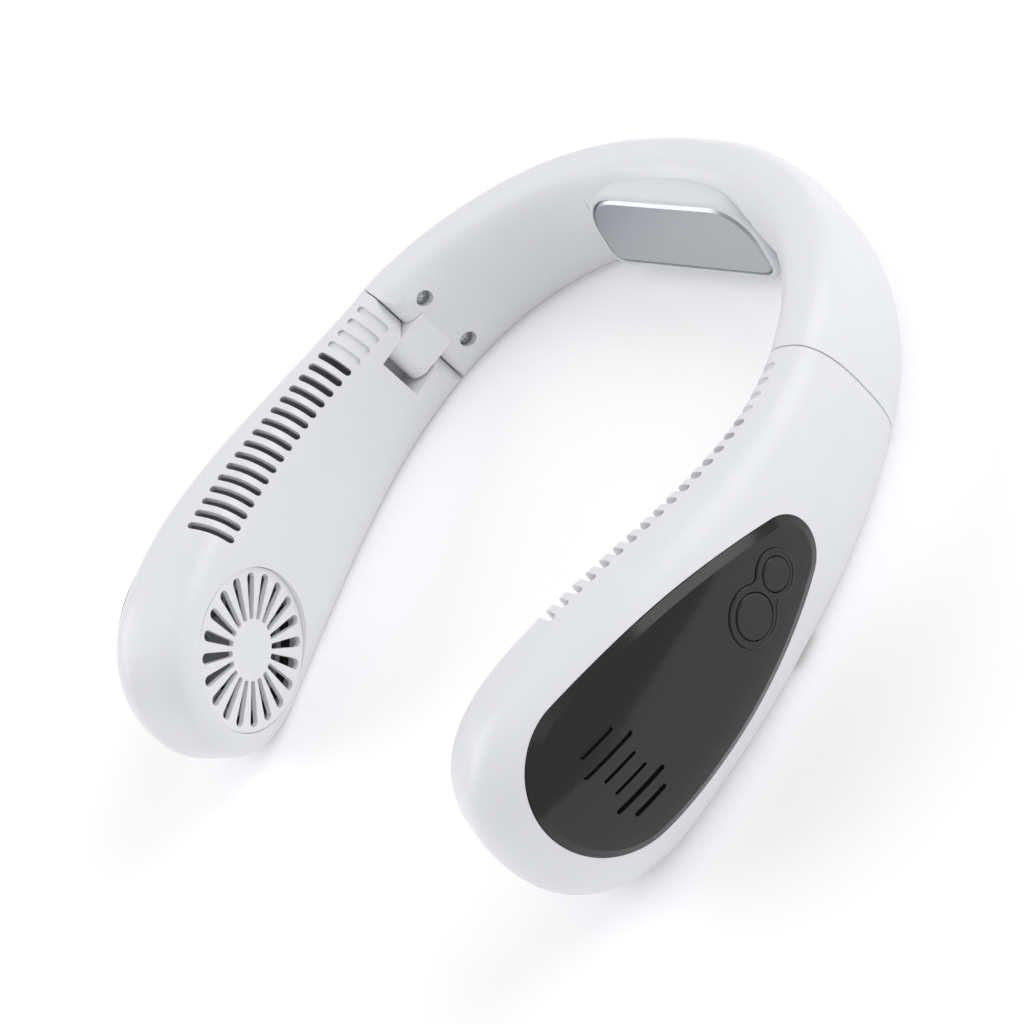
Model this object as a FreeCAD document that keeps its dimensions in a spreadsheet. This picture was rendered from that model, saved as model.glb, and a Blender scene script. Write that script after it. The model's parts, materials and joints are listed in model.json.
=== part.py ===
"""Bladeless neck fan: a hinged collar with a centrifugal blower in each arm and a cooled plate at the nape.

The collar lies on a flat surface. +Z is up, the nape bridge is at +Y, the arm tips point to -Y and the
wearer's left arm, which carries the buttons, is at +X. Every length is in millimetres.
"""
import FreeCAD, Part

import math
import os

import Sketcher
from FreeCAD import Matrix, Placement, Vector

# Driving dimensions: name, value and meaning
SIZES = [
    ("back_arc_length", 30.0, "collar centre line: half of the flat back arc"),
    ("back_arc_radius", 93.3, "collar centre line: radius of the back arc"),
    ("side_arc_length", 76.4, "collar centre line: from the back arc to the hinge seam"),
    ("side_arc_radius", 78.6, "collar centre line: radius of the side arc"),
    ("root_arc_length", 45.0, "collar centre line: first arc of an arm"),
    ("root_arc_radius", 149.0, "collar centre line: radius of that arc"),
    ("front_arc_length", 94.0, "collar centre line: second arc of an arm, up to its tip"),
    ("front_arc_radius", 301.0, "collar centre line: radius of that arc"),
    ("bridge_half_height", 17.0, "half of the bridge's height at the nape"),
    ("bridge_half_thickness", 9.8, "half of the bridge's thickness at the nape"),
    ("hinge_half_height", 20.6, "half of the height at the seam"),
    ("hinge_half_thickness", 10.0, "half of the thickness at the seam"),
    ("fan_half_height", 29.8, "half of an arm's height at its fan"),
    ("fan_half_thickness", 17.4, "half of an arm's thickness at its fan"),
    ("tip_length", 33.4, "length over which an arm rounds off to its tip"),
    ("rest_flat_depth", 0.5, "depth of the flat that the collar rests on"),
    ("wall", 2.4, "wall of the moulded shells"),
    ("overrun", 30.0, "how far a cut runs past what it cuts"),
    ("seam_gap", 0.4, "gap between the bridge and an arm"),
    ("end_block", 16.0, "solid length at each end of the bridge"),
    ("hinge_reach", 5.6, "hinge axis: distance past the seam"),
    ("hinge_depth", 4.0, "hinge axis: distance inside the centre line, also the parting line"),
    ("hinge_height", 21.0, "middle of the knuckle above the rest surface"),
    ("knuckle_radius", 4.4, "half of the knuckle's thickness"),
    ("knuckle_width", 14.0, "knuckle's length along the hinge axis"),
    ("knuckle_neck", 5.4, "knuckle's open length behind the seam"),
    ("knuckle_root", 8.5, "knuckle's length inside the bridge"),
    ("root_cover", 2.0, "bridge skin over the knuckle's root"),
    ("hinge_side_gap", 0.7, "gap beside and under the knuckle"),
    ("hinge_end_gap", 2.9, "gap in front of the knuckle"),
    ("notch_end_wall", 2.4, "wall between the notch and the arm's cavity"),
    ("wire_hole_radius", 1.4, "wire passage in that wall"),
    ("wire_hole_rise", 1.2, "wire passage above the knuckle's middle"),
    ("pin_radius", 1.5, "hinge pin"),
    ("pin_length", 26.4, "hinge pin"),
    ("pin_gap", 0.06, "running gap of the pin in the knuckle"),
    ("hinge_flat_depth", 3.2, "depth of the flat beside the knuckle, at the seam"),
    ("hinge_flat_reach", 18.0, "length of that flat along the bridge"),
    ("hinge_roll", 3.5, "rounding between that flat and the bridge's end"),
    ("screw_back", 8.7, "hinge screws: distance behind the seam"),
    ("screw_offset", 10.0, "hinge screws: distance above and below the knuckle's middle"),
    ("screw_seat", 5.8, "hinge screws: head seat inside the centre line"),
    ("screw_head_radius", 2.1, "hinge screw"),
    ("screw_head_height", 1.5, "hinge screw"),
    ("screw_radius", 1.1, "hinge screw's shank"),
    ("screw_length", 8.6, "hinge screw's shank"),
    ("screw_gap", 0.3, "gap round the screw's head"),
    ("fit_gap", 0.15, "gap round pieces that are set into another"),
    ("vent_width", 2.2, "width of an air slot"),
    ("vent_first", 5.3, "first air slot: distance past the seam"),
    ("vent_pitch", 4.34, "spacing of the air slots along the arm"),
    ("vent_depth", 5.0, "depth of an open air slot under its chord"),
    ("vent_blind_depth", 0.8, "depth of a blind air slot"),
    ("fan_setback", 29.3, "fan axis: distance from the tip along the centre line"),
    ("grille_radius", 22.2, "intake grille"),
    ("grille_thickness", 1.5, "intake grille"),
    ("grille_recess", 1.0, "intake grille: its face under the arm's inner face"),
    ("grille_hub_radius", 8.3, "plain middle of the intake grille"),
    ("grille_slot_end", 20.85, "outer end of a grille slot"),
    ("grille_slot_narrow", 1.5, "width of a grille slot at its inner end"),
    ("grille_slot_wide", 3.2, "width of a grille slot at its outer end"),
    ("grille_slot_round", 1.45, "rounding of a grille slot's outer end"),
    ("grille_slot_corner", 0.5, "rounding of a grille slot's inner corners"),
    ("grille_ledge", 1.0, "ledge under the grille's rim"),
    ("grille_ring", 2.3, "height of the ring that carries the ledge and the blower"),
    ("blower_radius", 23.2, "outside of the blower housing"),
    ("blower_wall", 1.4, "wall of the blower housing"),
    ("deck_level", 1.2, "blower housing's deck outside the centre line"),
    ("deck_thickness", 1.6, "blower housing's deck"),
    ("outlet_width", 24.0, "blower outlet towards the air slots"),
    ("outlet_margin", 1.2, "edge left above and below the blower outlet"),
    ("post_radius", 2.2, "posts behind the blower and the board"),
    ("post_circle", 19.0, "circle on which the blower's posts stand"),
    ("motor_radius", 8.6, "motor's coil drum"),
    ("motor_height", 4.8, "motor's coil drum under the blower housing's deck"),
    ("motor_flange", 0.8, "motor's base: overhang and thickness"),
    ("shaft_radius", 1.0, "impeller shaft"),
    ("shaft_gap", 0.05, "running gap of the shaft in the motor"),
    ("rotor_gap", 0.7, "gap between the impeller and what stands still"),
    ("rotor_wall", 1.1, "impeller's hub, plate and shroud"),
    ("impeller_radius", 18.0, "impeller"),
    ("impeller_height", 12.4, "impeller"),
    ("shroud_width", 1.9, "ring that ties the blades"),
    ("blade_thickness", 0.7, "impeller blade"),
    ("panel_setback", 55.4, "accent panel's middle: distance from the tip along the centre line"),
    ("panel_lift", 1.3, "accent panel's axis above the section's middle"),
    ("panel_front_radius", 21.0, "accent panel's wide end"),
    ("panel_back_radius", 10.0, "accent panel's narrow end"),
    ("panel_front_centre", 23.9, "accent panel: centre of the wide end before its middle"),
    ("panel_back_centre", 38.4, "accent panel: centre of the narrow end behind its middle"),
    ("panel_side_radius", 148.0, "accent panel's sides"),
    ("panel_proud", 0.8, "accent panel's face above the shell"),
    ("panel_sunk", 1.2, "accent panel's depth in the shell"),
    ("panel_bevel_height", 0.7, "bevel along the accent panel's rim"),
    ("panel_bevel_width", 2.2, "bevel along the accent panel's rim"),
    ("slot_pitch", 4.0, "spacing of the accent panel's grooves"),
    ("slot_width", 1.3, "width of a wide groove"),
    ("slot_fine_width", 0.8, "width of a fine groove"),
    ("slot_short", 9.8, "length of a short groove"),
    ("slot_long", 14.9, "length of a long groove"),
    ("groove_floor", 0.3, "floor of the grooves and of the bezel under the shell's face"),
    ("control_setback", 82.0, "button group's middle: distance from the tip along the centre line"),
    ("control_lift", 1.1, "button group's middle above the section's middle"),
    ("button_spacing", 11.3, "distance between the two buttons"),
    ("power_radius", 5.5, "large button"),
    ("cooling_radius", 4.1, "small button"),
    ("button_proud", 1.2, "button faces above the shell"),
    ("button_skirt", 4.3, "button cap's height"),
    ("button_flange", 0.8, "button's retaining flange: overhang and thickness"),
    ("button_round", 0.5, "rounding of a button's rim"),
    ("button_gap", 0.2, "gap round a button"),
    ("button_travel", 0.4, "press of a button"),
    ("stem_radius", 1.6, "button's stem"),
    ("bezel_width", 1.7, "rim of the bezel round the buttons"),
    ("bezel_proud", 1.05, "bezel's face above the shell"),
    ("bezel_waist", 2.0, "rounding of the bezel's waist between the buttons"),
    ("board_depth", 11.7, "board's face under the shell's face"),
    ("board_length", 36.0, "control board"),
    ("board_width", 30.0, "control board"),
    ("board_drop", 6.5, "control board's middle under the buttons"),
    ("board_thickness", 1.2, "control board"),
    ("switch_side", 6.0, "tact switch"),
    ("switch_height", 3.5, "tact switch's body"),
    ("plunger_radius", 1.7, "tact switch's plunger"),
    ("plunger_height", 0.8, "tact switch's plunger"),
    ("usb_reach", 24.4, "charging socket's mouth under the buttons"),
    ("usb_width", 8.94, "charging socket"),
    ("usb_height", 3.26, "charging socket"),
    ("usb_corner", 1.5, "charging socket's corner radius"),
    ("usb_length", 7.35, "charging socket"),
    ("usb_shell", 0.3, "charging socket's sheet"),
    ("usb_tongue", 0.7, "charging socket's tongue"),
    ("usb_tongue_width", 6.7, "charging socket's tongue"),
    ("usb_tongue_depth", 1.0, "charging socket's tongue under its mouth"),
    ("cell_setback", 86.0, "battery cell's middle: distance from the tip along the centre line"),
    ("cell_length", 50.0, "battery cell"),
    ("cell_width", 20.0, "battery cell"),
    ("cell_thickness", 8.0, "battery cell"),
    ("cell_round", 2.0, "battery cell's rounding"),
    ("cell_depth", 5.2, "battery cell's middle inside the centre line"),
    ("cell_drop", 6.5, "battery cell's middle under the section's middle"),
    ("rib_thickness", 1.6, "ribs that hold the cell"),
    ("rib_spacing", 30.0, "distance between those ribs"),
    ("rib_top", 6.0, "top of those ribs above the section's middle"),
    ("pad_width", 64.7, "cooling pad's frame"),
    ("pad_height", 26.2, "cooling pad's frame"),
    ("pad_crown", 14.0, "upper corner radius of the cooling pad's frame"),
    ("pad_foot", 6.0, "lower corner radius of the cooling pad's frame"),
    ("pad_round", 1.0, "rounding of the frame's front edge"),
    ("pad_depth", 14.0, "depth of the frame before it meets the bridge"),
    ("pad_forward", 17.5, "frame's face in front of the bridge's centre line"),
    ("pad_centre", 19.8, "frame's middle above the rest surface"),
    ("pad_rim", 1.6, "rim of the frame round the plate"),
    ("plate_thickness", 1.6, "cooling plate"),
    ("plate_proud", 0.4, "cooling plate's face above the frame's face"),
    ("plate_gap", 0.35, "gap round the cooling plate"),
    ("plate_edge", 0.9, "bevel of the cooling plate"),
    ("cooler_width", 30.0, "thermoelectric module"),
    ("cooler_height", 15.0, "thermoelectric module"),
    ("cooler_thickness", 3.4, "thermoelectric module"),
    ("sink_width", 34.0, "heat sink"),
    ("sink_height", 17.0, "heat sink"),
    ("sink_base", 2.0, "heat sink's base"),
    ("sink_fin_height", 10.0, "heat sink's fins"),
    ("sink_fin", 1.0, "heat sink's fins"),
]

# Angles in degrees
FULL_TURN = 360.0
TWIST_ANGLE = 10.5  # an arm's section leans back at its fan
HINGE_BEVEL_ANGLE = 36.0  # an arm's end leans back from the seam, so that it can fold inwards
PANEL_TILT = 7.6  # the accent panel's axis rises to the tip
PAD_TILT = 12.0  # the cooling pad's face looks up
VENT_INNER_ANGLE = 146.0  # inner end of an air slot on the section
VENT_OUTER_ANGLE = 93.0  # outer end of an air slot on the section

# Counts and shape numbers without a unit
VENT_COUNT = 20
VENT_BLIND_COUNT = 4
GRILLE_SLOT_COUNT = 20
BLADE_COUNT = 24
POST_COUNT = 3
FIN_COUNT = 8
SECTION_POINTS = 36
BRIDGE_EXPONENT = 2.6
INNER_EXPONENT = 4.5
OUTER_EXPONENT = 2.1
TIP_HEIGHT_EXPONENT = 2.3
TIP_INNER_EXPONENT = 5.0
TIP_OUTER_EXPONENT = 2.1
TIP_STATION_SHARES = (0.3, 0.55, 0.75, 0.88, 0.96, 0.988, 0.9985)
ARM_STATION_SHARES = (0.12, 0.28, 0.44, 0.6, 0.76, 0.9, 1.0)
BRIDGE_STATION_SHARES = (-1.0, -0.78, -0.52, -0.26, 0.0, 0.26, 0.52, 0.78, 1.0)
BLADE_SHARES = ((0.69, 0.0), (0.85, 0.07), (0.965, 0.2))
TOLERANCE = 0.001
LEFT, RIGHT = 1, -1
SIDES = {LEFT: "left", RIGHT: "right"}

doc = FreeCAD.newDocument("neck_fan")
sheet = doc.addObject("Spreadsheet::Sheet", "sizes")
for row, (alias, number, meaning) in enumerate(SIZES, 1):
    sheet.set(f"A{row}", meaning)
    sheet.set(f"B{row}", str(number))
    sheet.setAlias(f"B{row}", alias)
doc.recompute()


class Size:
    """A length together with the sheet expression that it comes from."""

    def __init__(self, value, text):
        self.value = value
        self.text = text

    def __add__(self, other):
        return Size(self.value + other.value, f"({self.text} + {other.text})")

    def __sub__(self, other):
        return Size(self.value - other.value, f"({self.text} - {other.text})")

    def __mul__(self, factor):
        return Size(self.value * factor, f"({self.text} * {factor})")

    def __neg__(self):
        return self * -1

    def __float__(self):
        return self.value


ZERO = Size(0.0, "0")


def size(alias):
    """The size that the sheet holds under an alias."""
    return Size(float(sheet.get(alias)), f"sizes.{alias}")


def mm(alias):
    """The plain number of a size."""
    return float(sheet.get(alias))


# The collar's form

ARC_NAMES = ("back", "side", "root", "front")
SEGMENTS = [(mm(f"{name}_arc_length"), mm(f"{name}_arc_radius")) for name in ARC_NAMES]
SEAM = mm("back_arc_length") + mm("side_arc_length")
TIP = sum(length for length, _ in SEGMENTS)
TIP_START = TIP - mm("tip_length")


def centre_line(s):
    """Plan position and heading of the collar's centre line at arc length s from the nape."""
    sign = math.copysign(1.0, s)
    rest, x, y, turn = abs(s), 0.0, 0.0, 0.0
    for index, (length, radius) in enumerate(SEGMENTS):
        last = index == len(SEGMENTS) - 1
        step = rest if last else min(rest, length)
        x += radius * (math.sin(turn + step / radius) - math.sin(turn))
        y += radius * (math.cos(turn + step / radius) - math.cos(turn))
        turn += step / radius
        rest -= step
        if rest <= 0:
            break
    return sign * x, y, -sign * turn


def blend(start, end, share):
    """Value between start and end that leaves and arrives level."""
    share = min(1.0, max(0.0, share))
    return start + (end - start) * share * share * (3 - 2 * share)


def arm_share(s):
    """How far s lies from the seam to the start of the tip, from 0 to 1."""
    return min(1.0, max(0.0, (abs(s) - SEAM) / (TIP_START - SEAM)))


def half_size(s, what):
    """Half of the collar's height or thickness at s, before the tip's rounding."""
    if abs(s) < SEAM:
        start, end = mm(f"bridge_half_{what}"), mm(f"hinge_half_{what}")
        return start + (end - start) * abs(s) / SEAM
    return blend(mm(f"hinge_half_{what}"), mm(f"fan_half_{what}"), arm_share(s))


class Frame:
    """Local axes on the collar: along it, outwards and up."""

    def __init__(self, origin, along, out, up):
        self.origin = origin
        self.along = along
        self.out = out
        self.up = up

    def at(self, along=0.0, out=0.0, up=0.0):
        """Point given in this frame."""
        return self.origin + self.along * along + self.out * out + self.up * up


def station(s, twisted=True):
    """Frame of the collar's section at s, leaned back by the arm's twist."""
    x, y, heading = centre_line(s)
    lean = math.radians(TWIST_ANGLE) * arm_share(s) if twisted else 0.0
    level = Vector(-math.sin(heading), math.cos(heading), 0)
    return Frame(
        Vector(x, y + BACK_Y, half_size(s, "height") - mm("rest_flat_depth")),
        Vector(math.cos(heading), math.sin(heading), 0),
        level * math.cos(lean) + Vector(0, 0, math.sin(lean)),
        level * -math.sin(lean) + Vector(0, 0, math.cos(lean)),
    )


def tip_factor(s, inset, exponent):
    """Share of the full section that the tip's rounding leaves at s."""
    share = min(1.0, max(0.0, (abs(s) - TIP_START) / (mm("tip_length") - inset)))
    return (1.0 - share ** exponent) ** (1.0 / exponent)


def section_point(s, angle, inset=0.0):
    """Point of the collar's surface, set in by inset: angle 0 looks outwards, 90 degrees up."""
    across, upward = math.cos(math.radians(angle)), math.sin(math.radians(angle))
    outer = across >= 0
    end_exponent = OUTER_EXPONENT if outer else INNER_EXPONENT
    exponent = BRIDGE_EXPONENT + (end_exponent - BRIDGE_EXPONENT) * arm_share(s)
    tip_exponent = TIP_OUTER_EXPONENT if outer else TIP_INNER_EXPONENT
    half_thickness = (half_size(s, "thickness") - inset) * tip_factor(s, inset, tip_exponent)
    half_height = (half_size(s, "height") - inset) * tip_factor(s, inset, TIP_HEIGHT_EXPONENT)
    out = half_thickness * math.copysign(abs(across) ** (2 / exponent), across)
    up = half_height * math.copysign(abs(upward) ** (2 / exponent), upward)
    return station(s).at(0.0, out, up)


def section(s, inset):
    """Closed wire of the collar's section at s."""
    turn = FULL_TURN / SECTION_POINTS
    curve = Part.BSplineCurve()
    curve.interpolate([section_point(s, turn * k, inset) for k in range(SECTION_POINTS)], PeriodicFlag=True)
    return Part.Wire([curve.toShape()])


def above_rest(shape):
    """The shape without what lies under the rest surface."""
    reach = TIP + mm("overrun")
    depth = mm("overrun")
    return shape.cut(Part.makeBox(2 * reach, 2 * reach, depth, Vector(-reach, -reach, -depth)))


def arm_form(start, inset):
    """Solid of the left arm from arc length start to its tip, set in by inset."""
    stations = [start] + [start + (TIP_START - start) * share for share in ARM_STATION_SHARES]
    stations += [TIP_START + (mm("tip_length") - inset) * share for share in TIP_STATION_SHARES]
    return Part.makeLoft([section(s, inset) for s in stations], True, False)


def bridge_form(end, inset):
    """Solid of the bridge between arc lengths -end and end, set in by inset."""
    return Part.makeLoft([section(end * share, inset) for share in BRIDGE_STATION_SHARES], True, False)


def plan_region(breaks, low, high):
    """Upright solid between two offsets of the centre line, low and high, with arcs between the breaks."""
    def edge(offset):
        def point(s):
            return station(s, twisted=False).at(0.0, offset)
        arcs = []
        for first, last in zip(breaks, breaks[1:]):
            middle = (first + last) / 2
            arcs.append(Part.Arc(flat(point(first)), flat(point(middle)), flat(point(last))).toShape())
        return arcs, flat(point(breaks[0])), flat(point(breaks[-1]))

    def flat(point):
        return Vector(point.x, point.y, -mm("overrun"))

    inner, inner_start, inner_end = edge(low)
    outer, outer_start, outer_end = edge(high)
    ends = [Part.makeLine(inner_start, outer_start), Part.makeLine(inner_end, outer_end)]
    wire = Part.Wire(Part.__sortEdges__(inner + outer + ends))
    height = 2 * (mm("fan_half_height") + mm("overrun"))
    return Part.Face(wire).extrude(Vector(0, 0, height))


def mirrored(shape, side):
    """The left arm's shape, or its mirror image for the right arm."""
    return shape if side == LEFT else shape.mirror(Vector(), Vector(1, 0, 0))


def prism(points, direction):
    """Solid swept from a closed polygon along a direction."""
    return Part.Face(Part.makePolygon(points + points[:1])).extrude(direction)


def rod(start, direction, radius, length):
    """Cylinder from start along a direction."""
    return Part.makeCylinder(radius, length, start, direction)


def block(frame, along, out, up):
    """Box in a frame, given by its two limits along each axis."""
    corners = [frame.at(a, o, up[0]) for a, o in
               ((along[0], out[0]), (along[1], out[0]), (along[1], out[1]), (along[0], out[1]))]
    return prism(corners, frame.up * (up[1] - up[0]))


def stadium(centre, along, across, length, width, direction):
    """Prism with a round-ended slot as its outline, centred in its plane."""
    half = along * ((length - width) / 2)
    side = across * (width / 2)
    cap = along * (width / 2)
    edges = [
        Part.makeLine(centre - half - side, centre + half - side),
        Part.Arc(centre + half - side, centre + half + cap, centre + half + side).toShape(),
        Part.makeLine(centre + half + side, centre - half + side),
        Part.Arc(centre - half + side, centre - half - cap, centre - half - side).toShape(),
    ]
    return Part.Face(Part.Wire(edges)).extrude(direction)


def tip_front():
    """Foremost y of an arm's tip, found on points of its surface."""
    stations = [TIP_START + mm("tip_length") * step / SECTION_POINTS for step in range(SECTION_POINTS)]
    angles = [FULL_TURN * step / SECTION_POINTS for step in range(SECTION_POINTS)]
    return min(section_point(s, angle).y for s in stations for angle in angles)


# The origin lies in the middle between the bridge's back and the tips
BACK_Y = 0.0
BACK_Y = -(tip_front() + mm("bridge_half_thickness")) / 2


# Building blocks of the sketched pieces

def new_body(label):
    body = doc.addObject("PartDesign::Body", label)
    body.Label = label
    return body


def new_sketch(body, level=ZERO, role="XY_Plane"):
    """Sketch of a body on one of its own planes, raised by level."""
    sketch = body.newObject("Sketcher::SketchObject", f"{body.Label}_sketch")
    plane = next(feature for feature in body.Origin.OriginFeatures if feature.Role == role)
    sketch.AttachmentSupport = [(plane, "")]
    sketch.MapMode = "FlatFace"
    sketch.setExpression("AttachmentOffset.Base.z", level.text)
    return sketch


def fix(sketch, geometry, position, x, y):
    """Holds a point of a sketch at sizes from the sheet."""
    for kind, length in (("DistanceX", x), ("DistanceY", y)):
        constraint = Sketcher.Constraint(kind, -1, 1, geometry, position, length.value)
        sketch.setExpression(f"Constraints[{sketch.addConstraint(constraint)}]", length.text)


def add_circle(sketch, radius, x=ZERO, y=ZERO):
    centre = Vector(x.value, y.value, 0)
    circle = sketch.addGeometry(Part.Circle(centre, Vector(0, 0, 1), radius.value))
    fix(sketch, circle, 3, x, y)
    constraint = sketch.addConstraint(Sketcher.Constraint("Radius", circle, radius.value))
    sketch.setExpression(f"Constraints[{constraint}]", radius.text)


def add_polygon(sketch, corners):
    points = [Vector(x.value, y.value, 0) for x, y in corners]
    lines = [sketch.addGeometry(Part.LineSegment(a, b)) for a, b in zip(points, points[1:] + points[:1])]
    for line, following in zip(lines, lines[1:] + lines[:1]):
        sketch.addConstraint(Sketcher.Constraint("Coincident", line, 2, following, 1))
    for line, (x, y) in zip(lines, corners):
        fix(sketch, line, 1, x, y)


def add_rectangle(sketch, x_low, x_high, y_low, y_high):
    add_polygon(sketch, [(x_low, y_low), (x_high, y_low), (x_high, y_high), (x_low, y_high)])


def add_rounded(sketch, width, height, crown, foot):
    """Centred rectangle with round upper corners of radius crown and lower corners of radius foot."""
    quarter = math.pi / 2
    corners = [(1, 1, crown), (-1, 1, crown), (-1, -1, foot), (1, -1, foot)]
    corners = [((width * 0.5 - radius) * x, (height * 0.5 - radius) * y, radius) for x, y, radius in corners]
    shapes = []
    for index, (x, y, radius) in enumerate(corners):
        start, end = index * quarter, (index + 1) * quarter
        next_x, next_y, next_radius = corners[(index + 1) % len(corners)]
        circle = Part.Circle(Vector(x.value, y.value, 0), Vector(0, 0, 1), radius.value)
        out = Vector(math.cos(end), math.sin(end), 0)
        shapes.append(Part.ArcOfCircle(circle, start, end))
        shapes.append(Part.LineSegment(Vector(x.value, y.value, 0) + out * radius.value,
                                       Vector(next_x.value, next_y.value, 0) + out * next_radius.value))
    outline = sketch.addGeometry(shapes)
    for one, following in zip(outline, outline[1:] + outline[:1]):
        sketch.addConstraint(Sketcher.Constraint("Tangent", one, 2, following, 1))
    for arc, (x, y, radius) in zip(outline[::2], corners):
        fix(sketch, arc, 3, x, y)
        constraint = sketch.addConstraint(Sketcher.Constraint("Radius", arc, radius.value))
        sketch.setExpression(f"Constraints[{constraint}]", radius.text)


def add_centred(sketch, width, height):
    add_rectangle(sketch, width * -0.5, width * 0.5, height * -0.5, height * 0.5)


def pad(body, sketch, length, down=False):
    feature = body.newObject("PartDesign::Pad", f"{body.Label}_pad")
    feature.Profile = sketch
    feature.setExpression("Length", length.text)
    feature.Reversed = down
    doc.recompute()
    return feature


def pocket(body, sketch, depth, up=False):
    feature = body.newObject("PartDesign::Pocket", f"{body.Label}_pocket")
    feature.Profile = sketch
    feature.setExpression("Length", depth.text)
    feature.Reversed = up
    doc.recompute()
    return feature


def revolve(body, corners):
    """Turned solid from a half profile of radius and height."""
    sketch = new_sketch(body, role="XZ_Plane")
    add_polygon(sketch, corners)
    feature = body.newObject("PartDesign::Revolution", f"{body.Label}_turned")
    feature.Profile = sketch
    feature.ReferenceAxis = (sketch, ["V_Axis"])
    doc.recompute()
    return feature


def polar(body, originals, count):
    feature = body.newObject("PartDesign::PolarPattern", f"{body.Label}_round")
    feature.Originals = originals
    feature.Axis = (originals[0].Profile[0], ["N_Axis"])
    feature.Angle = FULL_TURN
    feature.Occurrences = count
    body.Tip = feature
    doc.recompute()


def soften(body, amount, chosen, kind="Fillet"):
    """Fillet or chamfer on the edges of a body that are chosen."""
    base = body.Tip
    edges = [f"Edge{index}" for index, edge in enumerate(base.Shape.Edges, 1) if chosen(edge)]
    feature = body.newObject(f"PartDesign::{kind}", f"{body.Label}_{kind.lower()}")
    feature.Base = (base, edges)
    feature.setExpression("Radius" if kind == "Fillet" else "Size", amount.text)
    doc.recompute()


def upright(edge):
    """True for a straight edge along the sketch normal."""
    straight = edge.Curve.TypeId == "Part::GeomLine"
    return straight and math.isclose(edge.BoundBox.ZLength, edge.Length, rel_tol=TOLERANCE)


def at_level(level):
    """Chooser of the edges that lie flat at a height."""
    def chosen(edge):
        box = edge.BoundBox
        return max(abs(box.ZMin - level.value), abs(box.ZMax - level.value)) < TOLERANCE * mm("wall")
    return chosen


def place_facing(body, origin, x_axis, z_axis, side=LEFT):
    """Puts a body with its Z axis and its X axis in given directions, mirrored to the right where asked."""
    origin, x_axis, z_axis = (Vector(v.x * side, v.y, v.z) for v in (origin, x_axis, z_axis))
    y_axis = z_axis.cross(x_axis)
    matrix = Matrix(x_axis.x, y_axis.x, z_axis.x, origin.x,
                    x_axis.y, y_axis.y, z_axis.y, origin.y,
                    x_axis.z, y_axis.z, z_axis.z, origin.z,
                    0, 0, 0, 1)
    body.Placement = Placement(matrix)


def add_feature(label, shape):
    feature = doc.addObject("Part::Feature", label)
    feature.Label = label
    feature.Shape = shape
    return feature


# Arm shells

HINGE = station(SEAM)
HINGE_UP = mm("hinge_height") - HINGE.origin.z
FAN = station(TIP - mm("fan_setback"))
GRILLE_LEVEL = mm("grille_recess") - mm("fan_half_thickness")
LEDGE_LEVEL = GRILLE_LEVEL + mm("grille_thickness")
CAVITY_START = (SEAM + mm("hinge_reach") + mm("knuckle_radius") + mm("hinge_end_gap")
                + mm("notch_end_wall"))


def hinge_cuts():
    """What the hinge takes out of an arm: notch, bevelled end, pin bore and wire passage."""
    overrun = mm("overrun")
    half_width = mm("knuckle_width") / 2 + mm("hinge_side_gap")
    floor = mm("knuckle_radius") + mm("hinge_side_gap") - mm("hinge_depth")
    notch_end = mm("hinge_reach") + mm("knuckle_radius") + mm("hinge_end_gap")
    height = (HINGE_UP - half_width, HINGE_UP + half_width)
    notch = block(HINGE, (-overrun, notch_end), (-overrun, floor), height)
    start, depth = mm("seam_gap") / 2, mm("hinge_depth")
    widening = overrun * math.tan(math.radians(HINGE_BEVEL_ANGLE))
    corners = [HINGE.at(along, out, -overrun - HINGE.origin.z) for along, out in
               ((start, -depth), (start + widening, -depth - overrun), (start - overrun, -depth - overrun),
                (start - overrun, -depth))]
    bevel = prism(corners, Vector(0, 0, 2 * (overrun + mm("fan_half_height"))))
    pin_foot = HINGE.at(mm("hinge_reach"), -depth, HINGE_UP - mm("pin_length") / 2)
    bore = rod(pin_foot, HINGE.up, mm("pin_radius"), mm("pin_length"))
    wire_depth = depth + 2 * mm("wire_hole_radius")
    wire_start = HINGE.at(notch_end - mm("hinge_end_gap"), -wire_depth, HINGE_UP + mm("wire_hole_rise"))
    wire_length = mm("hinge_end_gap") + 2 * mm("notch_end_wall")
    return [notch, bevel, bore, rod(wire_start, HINGE.along, mm("wire_hole_radius"), wire_length)]


def vent_cuts():
    """Air slots over the top inner edge: the first few are blind, the others open into the arm."""
    blind_floor = arm_form(SEAM + mm("seam_gap") / 2, mm("vent_blind_depth"))
    cuts = []
    for index in range(VENT_COUNT):
        s = SEAM + mm("vent_first") + index * mm("vent_pitch")
        inner, outer = section_point(s, VENT_INNER_ANGLE), section_point(s, VENT_OUTER_ANGLE)
        chord = outer - inner
        along = station(s).along
        length = chord.Length
        chord.normalize()
        normal = along.cross(chord)
        centre = (inner + outer) * 0.5 - normal * mm("vent_depth")
        slot = stadium(centre, chord, along, length, mm("vent_width"), normal * mm("overrun"))
        cuts.append(slot.cut(blind_floor) if index < VENT_BLIND_COUNT else slot)
    return cuts


def grille_ring(envelope):
    """Ring inside the inner shell that carries the grille's ledge and the blower housing."""
    start = FAN.at(0.0, LEDGE_LEVEL + mm("grille_ring"))
    ring = rod(start, FAN.out * -1, mm("blower_radius"), mm("grille_ring") + mm("wall"))
    return ring.common(envelope)


def grille_cuts():
    overrun = mm("overrun")
    seat = rod(FAN.at(0.0, LEDGE_LEVEL), FAN.out * -1, mm("grille_radius") + mm("fit_gap"), overrun)
    start = FAN.at(0.0, LEDGE_LEVEL + mm("grille_ring") + mm("wall"))
    opening = rod(start, FAN.out * -1, mm("grille_radius") - mm("grille_ledge"), overrun)
    return [seat, opening]


CELL = station(TIP - mm("cell_setback"))


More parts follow.
